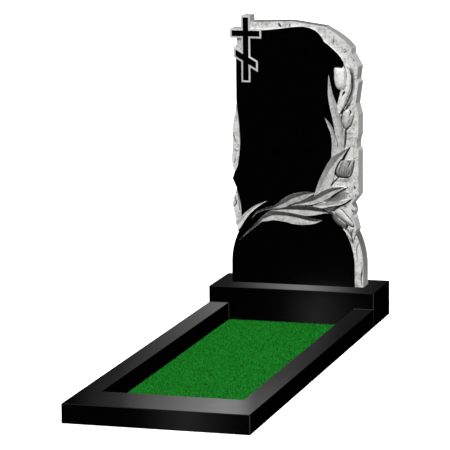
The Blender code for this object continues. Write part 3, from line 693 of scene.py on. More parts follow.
# %% Rows of the margin marks
MARGIN_MARKS = [
    [(-54, 776, 1.0, 0.40), (-51, 769, 3.6, 0.22), (-46, 763, 1.4, 0.30)],
    [(-18, 774, 0.8, 0.44), (-20, 768, 2.4, 0.28), (-21, 763, 0.8, 0.38)],
    [(111, 742, 0.8, 0.50), (113, 727, 1.2, 0.44), (109, 713, 0.8, 0.50)],
    [(142, 692, 1.2, 0.46), (151, 698, 2.2, 0.30)],
    [(131, 653, 0.8, 0.60), (134, 659, 1.4, 0.46)],
    [(172, 303, 1.0, 0.40), (176, 293, 2.4, 0.20)],
    [(177, 279, 1.0, 0.40), (178, 268, 2.0, 0.26)],
    [(163, 231, 1.6, 0.40), (171, 224, 3.0, 0.24)],
    [(171, 174, 1.0, 0.50), (165, 162, 1.8, 0.40), (167, 141, 1.5, 0.40), (170, 132, 1.0, 0.50)],
    [(176, 164, 0.8, 0.50), (179, 152, 1.2, 0.44)],
    [(187, 135, 0.8, 0.55), (180, 117, 1.4, 0.46), (181, 80, 1.0, 0.55)],
    [(196, 64, 0.2, 0.50), (195, 44, 2.0, 0.22), (193, 30, 1.4, 0.30), (194, 5, 0.6, 0.45)],
    [(-195, 448, 1.0, 0.46), (-188, 421, 1.8, 0.36)],
    [(-194, 399, 1.0, 0.46), (-184, 392, 2.2, 0.34)],
    [(-188, 374, 1.0, 0.46), (-192, 357, 1.8, 0.38)],
    [(-197, 266, 1.0, 0.46), (-187, 239, 2.0, 0.34), (-194, 226, 1.0, 0.46)],
    [(-182, 262, 0.8, 0.50), (-176, 215, 1.4, 0.40)],
    [(171, 678, 0.8, 0.50), (173, 668, 1.6, 0.38)],
    [(168, 639, 0.8, 0.55), (165, 590, 1.4, 0.46), (163, 583, 0.8, 0.55)],
    [(170, 561, 0.8, 0.50), (158, 541, 1.4, 0.40), (150, 532, 0.8, 0.50)],
    [(-182, 706, 0.8, 0.50), (-180, 699, 1.4, 0.36)],
]
CUT_DEPTH = 0.0016
HOLLOW_DEPTH = 0.0012
MARK_DEPTH = 0.0010
CUT_SHOULDER = 0.7
print(len(MARGIN_MARKS), "marks on the margin")

# %% [markdown]
# ## Measuring on the drawing
# Three questions come up for every point of the mesh: is it inside a closed line, how far is it
# from a line, and where is it along and across a midrib. Numpy answers each of them for all
# points at once, with one pass for each side of the line.

# %% Measuring helpers
def inside(points, polygon):
    """Which points lie in the polygon, by crossing count."""
    u, v = points[:, 0], points[:, 1]
    hit = np.zeros(len(points), bool)
    for (u0, v0), (u1, v1) in zip(polygon, np.roll(polygon, -1, axis=0)):
        if v0 != v1:
            crosses = (v0 > v) != (v1 > v)
            hit ^= crosses & (u < u0 + (v - v0) * (u1 - u0) / (v1 - v0))
    return hit


def line_coordinates(points, line, closed):
    """Distance to the nearest place on a line, how far along it from 0 to 1, and the side, 1 for left."""
    ends = np.roll(line, -1, axis=0) if closed else line[1:]
    starts = line if closed else line[:-1]
    runs = ends - starts
    lengths = np.maximum(np.linalg.norm(runs, axis=1), 1e-9)
    passed = np.concatenate([[0], np.cumsum(lengths)])
    nearest = np.full(len(points), np.inf)
    along = np.zeros(len(points))
    side = np.ones(len(points))
    for start, run, length, before in zip(starts, runs, lengths, passed):
        away = points - start
        t = np.clip(away @ run / length ** 2, 0, 1)
        gap = np.linalg.norm(away - t[:, None] * run, axis=1)
        better = gap < nearest
        nearest[better] = gap[better]
        along[better] = (before + t[better] * length) / passed[-1]
        turn = run[0] * away[:, 1] - run[1] * away[:, 0]
        side[better] = np.where(turn[better] >= 0, 1, -1)
    return nearest, along, side


square = np.array([(0.0, 0.0), (0.0, 1.0), (1.0, 1.0), (1.0, 0.0)])
print("a point in a square and one beside it:", inside(np.array([(0.5, 0.5), (1.5, 0.5)]), square))

# %% Outlines of leaves, petals and strokes
PETAL_RIB_POINTS = 12


def with_sides(samples, widths):
    """Closed outline of the rows' midrib with those widths on its left and right."""
    rib = samples[:, :2]
    along = np.gradient(rib, axis=0)
    along /= np.linalg.norm(along, axis=1)[:, None]
    left = np.column_stack([-along[:, 1], along[:, 0]])
    return np.vstack([rib + left * widths[:, :1], (rib - left * widths[:, 1:])[::-1]])


def leaf_form(name):
    """Closed outline, midrib and greatest half width of a leaf, petal or bud."""
    if name in PETALS:
        outline = smooth_rows(PETALS[name] + PETALS[name][:1], CURVE_STEP)[:-1]
        low, high = outline.min(axis=0), outline.max(axis=0)
        rib = np.linspace(PETALS[name][0], ((low[0] + high[0]) / 2, high[1]), PETAL_RIB_POINTS)
        return outline, rib, min(high - low) / 2
    samples = smooth_rows(LEAVES[name], CURVE_STEP)
    widths = np.clip(samples[:, 2:], 0, None)
    return with_sides(samples, widths), samples[:, :2], widths.sum(axis=1).max() / 2


def stroke_form(rows, shoulder):
    """Closed outline and midrib of a stroke, and its grey along the rib; one width serves both sides."""
    samples = smooth_rows([row if len(row) == 5 else (*row[:3], *row[2:]) for row in rows], CURVE_STEP / 2)
    widths = np.clip(samples[:, 2:4] + shoulder, WELD, None)
    return with_sides(samples, widths), samples[:, :2], samples[:, 4]


FORMS = {name: leaf_form(name) for name in CARVING_ORDER}
STROKES = []
for group, shoulder, deep in ((HOLLOWS_WITH_PAINTED_SHADE, 0.0, HOLLOW_DEPTH), (PAINTED_SHADE_AND_HIGHLIGHT_TINTS, CUT_SHOULDER, 0.0),
                              (MARGIN_MARKS, CUT_SHOULDER, MARK_DEPTH), (CUTS_WITH_PAINTED_SHADE, CUT_SHOULDER, CUT_DEPTH)):
    STROKES += [(*stroke_form(rows, shoulder), deep) for rows in group]
print("longest midrib:", max(len(rib) for _, rib, _ in FORMS.values()), "points")

# %% [markdown]
# ## Tool marks on the margin
# The margin was knocked back with a point chisel, so it is uneven at two sizes: slow swells a
# couple of centimetres across, and the dents of single blows. It also has some deeper pits where
# a crystal broke out. Swells and dents come from Blender's own noise function, and the pits from
# a list of random places with a fixed seed, so that each run gives the same stone.

# %% Tool marks
SWELL = 22.0
SWELL_DEPTH = 0.0005
BLOW = 5.0
BLOW_DEPTH = 0.00025
PIT_COUNT = 30
PIT_DEPTH = 0.0010
PIT_DARKNESS = 0.35
PITS_BELOW = 700.0
PIT_RADIUS = (1.2, 3.0)
PIT_STRETCH = (1.0, 2.2)
PIT_SLOPE_ENDS = 1.5
PIT_SEED = 7373
rng = np.random.default_rng(PIT_SEED)
pits = np.column_stack([rng.uniform(-DRAWN_WIDTH / 2, DRAWN_WIDTH / 2, PIT_COUNT),
                        rng.uniform(0, DRAWN_HEIGHT, PIT_COUNT),
                        rng.uniform(*PIT_RADIUS, PIT_COUNT), rng.uniform(*PIT_STRETCH, PIT_COUNT)])
pits = pits[pits[:, 1] < PITS_BELOW]


def noise_at(points, size_mm, seed):
    """Smooth noise from -1 to 1 with features of that size; another seed gives another layer."""
    return np.array([noise.noise(Vector((u / size_mm, v / size_mm, seed))) for u, v in points])


def pit_share(points):
    """How deep in a pit each point is, from 0 to 1; pits are taller than they are wide."""
    share = np.zeros(len(points))
    for u, v, radius, stretch in pits:
        reach = np.hypot(points[:, 0] - u, (points[:, 1] - v) / stretch) / radius
        share = np.maximum(share, np.clip(PIT_SLOPE_ENDS - reach, 0, 1))
    return share


print("pits below the top margin:", len(pits))

# %% [markdown]
# ## Relief and grey of the front
# The carving is worked out as a mason would cut it, from the ground up. First the polished area
# is the highest and the margin lies 6 mm below it. Then each leaf or petal in its order: inside
# its line it has its own shape, and outside it what was there is cut away steeply to its rim.
# A leaf is a shallow channel with its lowest line on the rib, a petal is a dome with fine
# grooves along it. The greys go along with the shapes. Then come the strokes of the last pass,
# and the cross last of all, since it stands in front of whatever lies below it.

# %% Sizes and greys of the carving
MARGIN_DEPTH = 0.006
LEAF_DEPTH = 0.005
CROSS_EDGE_DEPTH = 0.0008
CUT_WIDTH = 1.3
CUT_SLOPE = MARGIN_DEPTH / CUT_WIDTH
FULL_DEPTH_WIDTH = 10.0
PETAL_DOME = 0.006
LEAF_BULGE = 0.10
VEIN_STEP = 3.2
VEIN_DEPTH = 0.00025
RIB_BLEND = 3.0
STROKE_FLOOR = 3.0
LEAF_GRIT = 0.8
PETAL_GRIT = 0.6
FLATTENED = {"hook": 0.3, "hook_stem": 0.3, "tall": 0.4, "thin_left": 0.6, "sweep_mid": 0.5}
MARGIN_GREY = 0.88
CROSS_GREY = 0.77
TAIL_GREY = 0.26
TAIL_FADES = {"sweep_back": (0.30, 0.45), "sweep_low": (0.24, 0.38)}
PETAL_BASE_LIGHT = 0.80
PETAL_LIGHT_RISE = 2.2
PETAL_SHADE = 0.10
CROSS_GRIT = 0.15
MARKS_FADE_IN = 4.0
CUT_REACH = 3.0
SWELL_LAYER = 3.0
BLOW_LAYER = 8.0
print("leaves are", LEAF_DEPTH * 1000, "mm deep and the margin is", MARGIN_DEPTH * 1000, "mm back")


# %% Shapes of a cut, a leaf and a petal
def smooth_step(share):
    """0 below 0, 1 above 1, and a soft curve between."""
    share = np.clip(share, 0, 1)
    return share * share * (3 - 2 * share)


def cut_to(height, rim, away):
    """Height outside a form: whatever lies there, joined to the form's rim by a steep cut."""
    return np.clip(height, rim - CUT_SLOPE * away, rim + CUT_SLOPE * away)


def leaf_shape(name, away, to_rib, along, side):
    """Height, grey and grit inside a leaf: a channel, with its own grey on each side of the rib, the darker
    side being painted shade.
    """
    width = np.maximum(away + to_rib, WELD)
    share = away / width
    bulge = LEAF_BULGE * np.sin(np.pi * share)
    deep = LEAF_DEPTH * FLATTENED.get(name, 1.0) * np.minimum(1, width / FULL_DEPTH_WIDTH)
    shape = -deep * (share - bulge)
    left_base, left_tip, right_base, right_tip = LEAF_GREYS_WITH_PAINTED_SHADE[name]
    left = left_base + (left_tip - left_base) * along
    right = right_base + (right_tip - right_base) * along
    grey = right + (left - right) * smooth_step(0.5 + 0.5 * side * to_rib / RIB_BLEND)
    if name in TAIL_FADES:
        dark_to, full_from = TAIL_FADES[name]
        grey = TAIL_GREY + (grey - TAIL_GREY) * smooth_step((along - dark_to) / (full_from - dark_to))
    return shape, grey, np.full(len(away), LEAF_GRIT)


def petal_shape(name, away, to_rib, along, side, half):
    """Height, grey and grit inside a petal: a dome with veins, darker towards its base and right side."""
    reach = np.clip(away / half, 0, 1)
    veins = VEIN_DEPTH * np.cos(to_rib * 2 * np.pi / VEIN_STEP)
    shape = -MARGIN_DEPTH + PETAL_DOME * np.sqrt(reach * (2 - reach)) + veins * reach
    lit = PETAL_BASE_LIGHT + (1 - PETAL_BASE_LIGHT) * smooth_step(along * PETAL_LIGHT_RISE)
    lit -= PETAL_SHADE * np.clip(-side * to_rib / half, 0, 1)
    return shape, PETAL_GREYS[name] * lit, np.full(len(away), PETAL_GRIT)


print("a soft step, five values:", smooth_step(np.linspace(0, 1, 5)).round(2))


# %% Carve the front
def near_form(points, outline, spread):
    """Indices of the points in a form's box, or that far outside it."""
    low = outline.min(axis=0) - spread
    high = outline.max(axis=0) + spread
    return np.where(((points > low) & (points < high)).all(axis=1))[0]


def carve(points):
    """Height in metres, grey and grit of the front face at each drawn point."""
    off_panel, _, _ = line_coordinates(points, POLISHED_AREA, True)
    on_panel = inside(points, POLISHED_AREA)
    swells = SWELL_DEPTH * noise_at(points, SWELL, SWELL_LAYER)
    swells += BLOW_DEPTH * noise_at(points, BLOW, BLOW_LAYER)
    pitted = pit_share(points)
    margin = -MARGIN_DEPTH + (swells - PIT_DEPTH * pitted) * smooth_step(off_panel / MARKS_FADE_IN)
    height = np.where(on_panel, 0.0, cut_to(margin, 0.0, off_panel))
    grey = MARGIN_GREY * (1 - PIT_DARKNESS * pitted)
    grit = np.ones(len(points))
    for name in CARVING_ORDER:
        outline, rib, half = FORMS[name]
        near = near_form(points, outline, CUT_REACH)
        spot = points[near]
        within = inside(spot, outline)
        away, _, _ = line_coordinates(spot, outline, True)
        to_rib, along, side = line_coordinates(spot, rib, False)
        if name in LEAVES:
            shape, own_grey, own_grit = leaf_shape(name, away, to_rib, along, side)
            rim = 0.0
        else:
            shape, own_grey, own_grit = petal_shape(name, away, to_rib, along, side, half)
            rim = -MARGIN_DEPTH
        height[near] = np.where(within, shape, cut_to(height[near], rim, away))
        grey[near] = np.where(within, own_grey, grey[near])
        grit[near] = np.where(within, own_grit, grit[near])
    # the strokes lay their grey over what lies there: painted shade in the cuts, the hollow and the dark
    # tints, painted highlights in the pale tints, and the marks' own grey
    for outline, rib, greys, deep in STROKES:
        near = near_form(points, outline, 0.0)
        near = near[inside(points[near], outline)]
        away, _, _ = line_coordinates(points[near], outline, True)
        to_rib, along, _ = line_coordinates(points[near], rib, False)
        share = away / np.maximum(away + to_rib, WELD)
        height[near] -= deep * smooth_step(share)
        own_grey = np.interp(along, np.linspace(0, 1, len(greys)), greys)
        grey[near] += (own_grey - grey[near]) * smooth_step(share * STROKE_FLOOR)
    on_face = inside(points, CROSS_FACE)
    to_face, _, _ = line_coordinates(points, CROSS_FACE, True)
    to_edge, _, _ = line_coordinates(points, CROSS_RIM, True)
    on_edge = inside(points, CROSS_RIM)
    slope = np.where(on_face, 0.0, -CROSS_EDGE_DEPTH * to_face / CROSS_EDGE)
    height = np.where(on_edge, slope, cut_to(height, -CROSS_EDGE_DEPTH, to_edge))
    grey = np.where(on_edge, CROSS_GREY, grey)
    grit = np.where(on_edge, CROSS_GRIT, grit)
    return height, grey, grit


sample = np.array([(0.0, 500.0), (150.0, 700.0), (0.0, 202.0)])
print("heights on panel, margin and leaf in mm:", np.round(carve(sample)[0] * 1000, 2))

# %% [markdown]
# ## The front as a mesh
# The front could be a fine grid, but then every carved line would show steps. Blender has a
# constrained Delaunay triangulation that keeps given lines as edges, so the drawn lines go in
# together with a scatter of points, close on leaves and petals, wider on the margin, and none at
# all on the flat polished areas, where one large triangle is as good as a thousand.

# %% Points and triangles of the front
LEAF_SPACING = 1.25
MARGIN_SPACING = 1.7
CLEAR_OF_LINES = 0.55
ROW_RISE = 0.866
SHIFT = 0.2


def drawn_lines():
    """Every line that the front must follow: a list of (points, closed)."""
    lines = [(POLISHED_AREA, True), (grown(POLISHED_AREA, CUT_WIDTH), True)]
    lines += [(CROSS_FACE, True), (CROSS_RIM, True), (grown(CROSS_RIM, CUT_WIDTH), True)]
    for name, (outline, rib, _) in FORMS.items():
        lines += [(outline, True), (grown(outline, CUT_WIDTH), True)]
        if name in LEAVES:
            lines.append((rib, False))
    for outline, rib, _, _ in STROKES:
        lines += [(outline, True), (rib, False)]
    return lines


def scatter(spacing, seed):
    """Points over the whole blank in staggered rows, each moved a little at random."""
    shift = np.random.default_rng(seed)
    rows = np.arange(0, DRAWN_HEIGHT, spacing * ROW_RISE)
    columns = np.arange(-DRAWN_WIDTH / 2, DRAWN_WIDTH / 2, spacing)
    grid = np.array([(u + (i % 2) * spacing / 2, v) for i, v in enumerate(rows) for u in columns])
    return grid + shift.uniform(-SHIFT, SHIFT, grid.shape) * spacing


def in_any_form(points):
    """Which points lie on a leaf or petal."""
    found = np.zeros(len(points), bool)
    for outline in [form[0] for form in FORMS.values()]:
        near = near_form(points, outline, 0.0)
        found[near] |= inside(points[near], outline)
    return found


def clear_of(points, lines, distance):
    """The points that are not too close to any point of the lines, found on a coarse raster."""
    taken = set()
    for line, closed in lines:
        dense = divided(line, distance) if closed else line
        taken |= {tuple(cell) for cell in np.floor(dense / distance).astype(int)}
    cells = np.floor(points / distance).astype(int)
    return points[[tuple(cell) not in taken for cell in cells]]


front_lines = drawn_lines()
print("drawn lines:", len(front_lines))


# %% Triangles of the front
def triangulated(lines, loose, outline):
    """Drawn points and triangles inside the outline, with every line kept as edges."""
    points = []
    edges = []
    for line, closed in [(outline, True)] + lines:
        first = len(points)
        count = len(line)
        points += [tuple(map(float, p)) for p in line]
        edges += [(first + i, first + (i + 1) % count) for i in range(count if closed else count - 1)]
    points += [tuple(map(float, p)) for p in loose]
    found, _, faces, _, _, _ = delaunay_2d_cdt(points, edges, [], 0, WELD)
    found = np.array([tuple(p) for p in found])
    faces = np.array([tuple(f) for f in faces])
    faces = faces[inside(found[faces].mean(axis=1), outline)]
    used = np.unique(faces)
    place = np.full(len(found), -1)
    place[used] = np.arange(len(used))
    return found[used], place[faces]


fine = scatter(LEAF_SPACING, 1)
fine = fine[in_any_form(fine)]
coarse = scatter(MARGIN_SPACING, 2)
coarse = coarse[inside(coarse, OUTLINE)]
coarse = coarse[~inside(coarse, POLISHED_AREA)]
coarse = coarse[~in_any_form(coarse)]
loose = clear_of(np.vstack([fine, coarse]), front_lines + [(OUTLINE, True)], CLEAR_OF_LINES * LEAF_SPACING)
front_points, front_faces = triangulated(front_lines, loose, OUTLINE)
front_height, front_grey, front_grit = carve(front_points)
front_grey = linear_grey(front_grey)
print("front:", len(front_points), "points and", len(front_faces), "triangles")

# %% [markdown]
# ## Which face has which finish
# A triangle of the front is polished where its middle lies in the polished area, on no leaf and
# off the edge of the cross, or on the cross's own face. The rest is tooled. Since there are edges
# along all the drawn lines, the border of black and pale stone is as sharp as the drawing.

# %% Finishes of the front
POLISHED, TOOLED, SPLIT, SAWN = range(4)
middles = front_points[front_faces].mean(axis=1)
bare = inside(middles, POLISHED_AREA) & ~in_any_form(middles)
bare &= ~inside(middles, CROSS_RIM)
bare |= inside(middles, CROSS_FACE)
front_finish = np.where(bare, POLISHED, TOOLED)
print("polished triangles:", int(bare.sum()), "of", len(bare))

# %% [markdown]
# ## The sides and the back
# The sides could be extruded in one step, but split stone isn't that flat. So the rim of the
# front is followed once round, and rows of points are laid behind it through the 50 mm of the
# slab, each moved in or out a little by noise, least at the front so that the drawn outline
# stays true. The back is triangulated from the last row. The sides get greys by which way each
# facet looks: the split facets are pale, faces that look up are painted darker as painted shade,
# the top edge darkest of all, faces that look down are painted paler as painted light against
# their shadow, and the side of the arch gets darker towards its top.

# %% Greys of the sides
LEVEL = 0.9
SLANTED = 0.65
TILTED = 0.2
SPLIT_GREY = 0.78
HIGH_FACET_GREY = 0.76
HIGH_FACETS_FROM = 500.0
# faces that look up get darker greys as painted shade, faces that look down paler ones as painted light
SHADED_SLANTED_TOP_GREY = 0.57
SLANTED_TOP_FROM = 680.0
SHADED_LEDGE_GREY = 0.72
# faces that look down and the facets under the notch are painted paler: painted light against the shadow of
# the overhang
LIT_UNDERCUT_GREY = 0.95
UNDER_NOTCH = (205.0, 250.0)
LIT_UNDER_NOTCH_GREY = 0.86
SHADED_CROSS_TOP_GREY = 0.62
# the side of the arch gets darker towards its top
ARCH_SIDE_GREY = 0.77
ARCH_SIDE_DARKER_UPWARDS = 0.40
# the top edge is the darkest painted shade, on faces that look straight up
SHADED_TOP_GREY = 0.28
DARKEST_TOP_END = -16.0
SHADED_RIGHT_TOP_GREY = 0.42
TOP_BEGINS = 700.0


def side_grey_with_painted_light(u, v, out_v):
    """Grey of the side behind a point of the rim, with painted shade on faces that look up and painted light
    on faces that look down; out_v is the upward part of where it looks.
    """
    if u < CROSS_BEAM_CENTRE + CROSS_ARM:
        return SHADED_CROSS_TOP_GREY if out_v > LEVEL else SPLIT_GREY
    if out_v > LEVEL and v > TOP_BEGINS:
        return SHADED_TOP_GREY if u < DARKEST_TOP_END else SHADED_RIGHT_TOP_GREY
    if out_v > SLANTED and v > SLANTED_TOP_FROM:
        return SHADED_SLANTED_TOP_GREY
    if u > 0 and v < RIGHT_SHOULDER:
        return ARCH_SIDE_GREY - ARCH_SIDE_DARKER_UPWARDS * v / RIGHT_SHOULDER
    if u > 0 and UNDER_NOTCH[0] < v < UNDER_NOTCH[1]:
        return LIT_UNDER_NOTCH_GREY
    if out_v < -TILTED:
        return LIT_UNDERCUT_GREY
    if u > 0 and out_v > TILTED:
        return SHADED_LEDGE_GREY
    if u > 0 and v > HIGH_FACETS_FROM:
        return HIGH_FACET_GREY
    return SPLIT_GREY


print("greys of the right side:", [round(side_grey_with_painted_light(180, v, 0.0), 2) for v in (80, 300, 600)])


# %% Follow the rim
def rim_of(faces):
    """The points of the one closed boundary, in order, and how many boundary edges there are."""
    edges = np.vstack([faces[:, [0, 1]], faces[:, [1, 2]], faces[:, [2, 0]]])
    keys = {tuple(edge) for edge in edges}
    following = {a: b for a, b in keys if (b, a) not in keys}
    start = min(following)
    loop = [start]
    while following[loop[-1]] != start:
        loop.append(following[loop[-1]])
    return np.array(loop), len(following)


rim, rim_edges = rim_of(front_faces)
rim_uv = front_points[rim]
step_on = np.roll(rim_uv, -1, axis=0) - rim_uv
step_on /= np.maximum(np.linalg.norm(step_on, axis=1), WELD)[:, None]
outwards = np.column_stack([step_on[:, 1], -step_on[:, 0]])
outwards = outwards + np.roll(outwards, 1, axis=0)
outwards /= np.maximum(np.linalg.norm(outwards, axis=1), WELD)[:, None]
print("rim:", len(rim), "points of", rim_edges, "boundary edges")

# %% Put the stele together
SIDE_ROWS = 14
SIDE_SWELL = 0.0003
SIDE_SWELL_SIZE = 16
SIDE_GRAIN = 0.0001
SIDE_GRAIN_SIZE = 3
SIDE_GRIT = 0.6
RIGHT_LEAN = 0.0033
stele_low, stele_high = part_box("stele")
mm = (stele_high.z - stele_low.z) / DRAWN_HEIGHT
depth = stele_high.y - stele_low.y


def place_point(u, v, behind):
    """A drawn point in the frame, at that depth behind the polished face in metres."""
    return (u * mm, stele_low.y + behind, stele_low.z + v * mm)


vertices = [place_point(u, v, -h) for (u, v), h in zip(front_points, front_height)]
faces = [tuple(face) for face in front_faces]
finish = list(front_finish)
greys = list(front_grey)
grits = list(front_grit)
row = list(rim)
for k in range(1, SIDE_ROWS + 1):
    share = k / SIDE_ROWS
    new_row = []
    for (u, v), (out_u, out_v), front_index in zip(rim_uv, outwards, rim):
        start = -front_height[front_index]
        behind = start + (depth - start) * share
        spot, fine_spot = [Vector((u / size, v / size, behind * 1000 / size))
                           for size in (SIDE_SWELL_SIZE, SIDE_GRAIN_SIZE)]
        swell = SIDE_SWELL * noise.noise(spot) + SIDE_GRAIN * noise.noise(fine_spot) - SIDE_SWELL
        swell *= 0.0 if v < 1 or k == SIDE_ROWS else math.sin(math.pi * min(share, 0.5))
        swell += RIGHT_LEAN * right_share(u) * share
        new_row.append(len(vertices))
        lifted = max(v + out_v * swell / mm, 0.0)
        vertices.append(place_point(u + out_u * swell / mm, lifted, behind))
        greys.append(float(linear_grey(side_grey_with_painted_light(u, v, out_v))))
        grits.append(SIDE_GRIT)
    for i in range(len(rim)):
        j = (i + 1) % len(rim)
        faces.append((row[j], row[i], new_row[i], new_row[j]))
        finish.append(SPLIT)
    row = new_row
back_uv = [tuple(map(float, uv)) for uv in rim_uv]
back_edges = [(i, (i + 1) % len(rim)) for i in range(len(rim))]
_, _, back_faces, back_sources, _, _ = delaunay_2d_cdt(back_uv, back_edges, [], 1, 1e-6)
for face in back_faces:
    faces.append(tuple(row[back_sources[i][0]] for i in face)[::-1])
    finish.append(SAWN)
print("stele:", len(vertices), "points and", len(faces), "faces")

# %% [markdown]
# ## Shading of the stele
# Smooth shading makes the small swells and the domes round. It must stop at every real edge,
# though: where two finishes meet, and where the surface turns by more than 30 degrees. The
# polished faces and the back are flat, so they keep flat shading and mirror without a ripple.

# %% Mesh, shading and attributes
SHARP_TURN = math.radians(30)


def link_mesh(name, points, polygons, materials):
    """Make a mesh object from points and faces, with its materials."""
    mesh = bpy.data.meshes.new(name)
    mesh.from_pydata(points, [], polygons)
    for surface in materials:
        mesh.materials.append(surface)
    made = bpy.data.objects.new(name, mesh)
    bpy.context.scene.collection.objects.link(made)
    return made


stele = link_mesh("carved_stele", vertices, faces, [polished, tooled, split, sawn])
mesh = stele.data
mesh.polygons.foreach_set("material_index", np.array(finish, np.int32))
mesh.polygons.foreach_set("use_smooth", np.isin(finish, [TOOLED, SPLIT]))
mesh.set_sharp_from_angle(angle=SHARP_TURN)
for name, values in (("grey", greys), ("grit", grits)):
    layer = mesh.attributes.new(name, "FLOAT", "POINT")
    layer.data.foreach_set("value", np.array(values, np.float32))
edge_of_finish = {}
for face in mesh.polygons:
    for key in face.edge_keys:
        edge_of_finish.setdefault(key, set()).add(face.material_index)
sharp = mesh.attributes["sharp_edge"]
for edge in mesh.edges:
    if len(edge_of_finish[edge.key]) > 1:
        sharp.data[edge.index].value = True
mesh.validate()
mesh.update()
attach(stele, "root")
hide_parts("stele")
stele.visible_glossy = False
print("stele triangles:", sum(len(face.vertices) - 2 for face in mesh.polygons))

# %% [markdown]
# ## Joints of the kerb
# Where a side bar meets the plinth the mason closes the joint with a thin bead of grey cement.
# It is only a millimetre wide and follows the corner: up the inner face of the bar and then
# outwards along its top. A bead in a corner needs just three lines of points, one in the corner
# itself and one on each of the two faces, so it is made as a small prism for each leg.

# %% Beads of cement
BEAD_LEG = 0.0010
BEAD_FOOT = 0.006


def cement():
    """Grey cement struck smooth with a wet finger: matt, with fine sand in it."""
    made, tree, shader = new_material("struck_grey_cement", 0.9, 1.5)
    place = add_node(tree, "ShaderNodeTexCoord").outputs["Object"]
    sand = add_node(tree, "ShaderNodeTexNoise", Vector=place, Scale=per_metre(2.0), Detail=2.0)
    colour = add_node(tree, "ShaderNodeMix", {"data_type": "RGBA"}, _0=sand.outputs["Fac"],
                      _6=linear("#2a2a29"), _7=linear("#3c3c3b"))
    tree.links.new(colour.outputs[2], shader.inputs["Base Color"])
    return made


def prism(corner, end, leg_a, leg_b):
    """Points and faces of a three-sided bar from one corner point to its end, faces outwards."""
    if leg_a.cross(leg_b).dot(end - corner) < 0:
        leg_a, leg_b = leg_b, leg_a
    points = [tuple(at + leg) for at in (corner, end) for leg in (Vector(), leg_a, leg_b)]
    return points, [(0, 2, 1), (3, 4, 5), (0, 1, 4, 3), (1, 2, 5, 4), (2, 0, 3, 5)]


grey_cement = cement()
plinth_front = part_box("plinth")[0].y
for side, bar_name in ((-1, "kerb_left"), (1, "kerb_right")):
    bar_low, bar_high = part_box(bar_name)
    inner = bar_high.x if side < 0 else bar_low.x
    outer = bar_low.x if side < 0 else bar_high.x
    towards = Vector((0, -BEAD_LEG, 0))
    legs = [(Vector((inner, plinth_front, BEAD_FOOT)), Vector((inner, plinth_front, bar_high.z)),
             Vector((-side * BEAD_LEG, 0, 0))),
            (Vector((inner, plinth_front, bar_high.z)), Vector((outer, plinth_front, bar_high.z)),
             Vector((0, 0, BEAD_LEG)))]
    points = []
    polygons = []
    for start, end, leg in legs:
        leg_points, leg_faces = prism(start, end, towards, leg)
        polygons += [tuple(len(points) + i for i in face) for face in leg_faces]
        points += leg_points
    bead = link_mesh("bead_" + bar_name, points, polygons, [grey_cement])
    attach(bead, "root")
print("beads:", round(BEAD_LEG * 1000, 1), "mm wide")

# %% [markdown]
# ## Artificial grass
# The mat in the kerb is the cheap kind: a thin backing with short flat blades of green
# polyethylene, pressed in all directions. Hair particles would be lost in an export, so each
# blade is a strip of real mesh with a bend in it, 4 mm long and drawn 1.6 mm wide, twice the
# real width, so that 60,000 of them are enough to hide the backing. Extruded polyethylene is
# coloured all through and a little waxy: an even, strong green with a broad soft shine. The
# backing is a coarse weave dipped in latex, dull and darker than the pile.

# %% Materials of the mat
TURF_PATCH = 45.0
PATCH_SHARE = 0.3
BACKING_WEAVE = 3.0


def polyethylene_blade():
    """Green polyethylene, each blade in its own shade, with patches where the pile lies another way."""
    made, tree, shader = new_material("polyethylene_grass_blades", 0.55, 1.5)
    place = add_node(tree, "ShaderNodeTexCoord").outputs["Object"]
    shade = add_node(tree, "ShaderNodeAttribute", {"attribute_name": "shade"}).outputs["Fac"]
    patch = add_node(tree, "ShaderNodeTexNoise", Vector=place, Scale=per_metre(TURF_PATCH), Detail=2.0)
    mixed = add_node(tree, "ShaderNodeMix", {"data_type": "FLOAT"}, _0=PATCH_SHARE, _2=shade,
                     _3=patch.outputs["Fac"])
    colour = add_node(tree, "ShaderNodeMix", {"data_type": "RGBA"}, _0=mixed.outputs[0],
                      _6=linear("#15781d"), _7=linear("#1c8b28"))
    tree.links.new(colour.outputs[2], shader.inputs["Base Color"])
    return made


def latex_backing():
    """The woven backing with its dark green latex, hardly seen between the blades."""
    made, tree, shader = new_material("latex_mat_backing", 0.9, 1.5)
    place = add_node(tree, "ShaderNodeTexCoord").outputs["Object"]
    weave = add_node(tree, "ShaderNodeTexVoronoi", Vector=place, Scale=per_metre(BACKING_WEAVE))
    colour = add_node(tree, "ShaderNodeMix", {"data_type": "RGBA"}, _0=weave.outputs["Distance"],
                      _6=linear("#105c17"), _7=linear("#146d1d"))
    tree.links.new(colour.outputs[2], shader.inputs["Base Color"])
    return made


blade_green = polyethylene_blade()
backing_green = latex_backing()
print("grass materials:", blade_green.name, backing_green.name)

# %% Blades of the mat
BLADE_COUNT = 60000
BLADE_LENGTH = (0.0030, 0.0048)
BLADE_HALF_WIDTH = 0.0008
BLADE_WAIST = 0.8
BLADE_LEAN = (0.15, 0.95)
BLADE_TWIST = 0.6
BEND_AT = 0.55
BEND_BELOW = 0.5
BEND_ABOVE = 1.4
ROOT_SHARE = 0.8
BACKING_THICKNESS = 0.0016
EDGE_CLEARANCE = 0.0025
turf_low, turf_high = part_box("turf_mat")


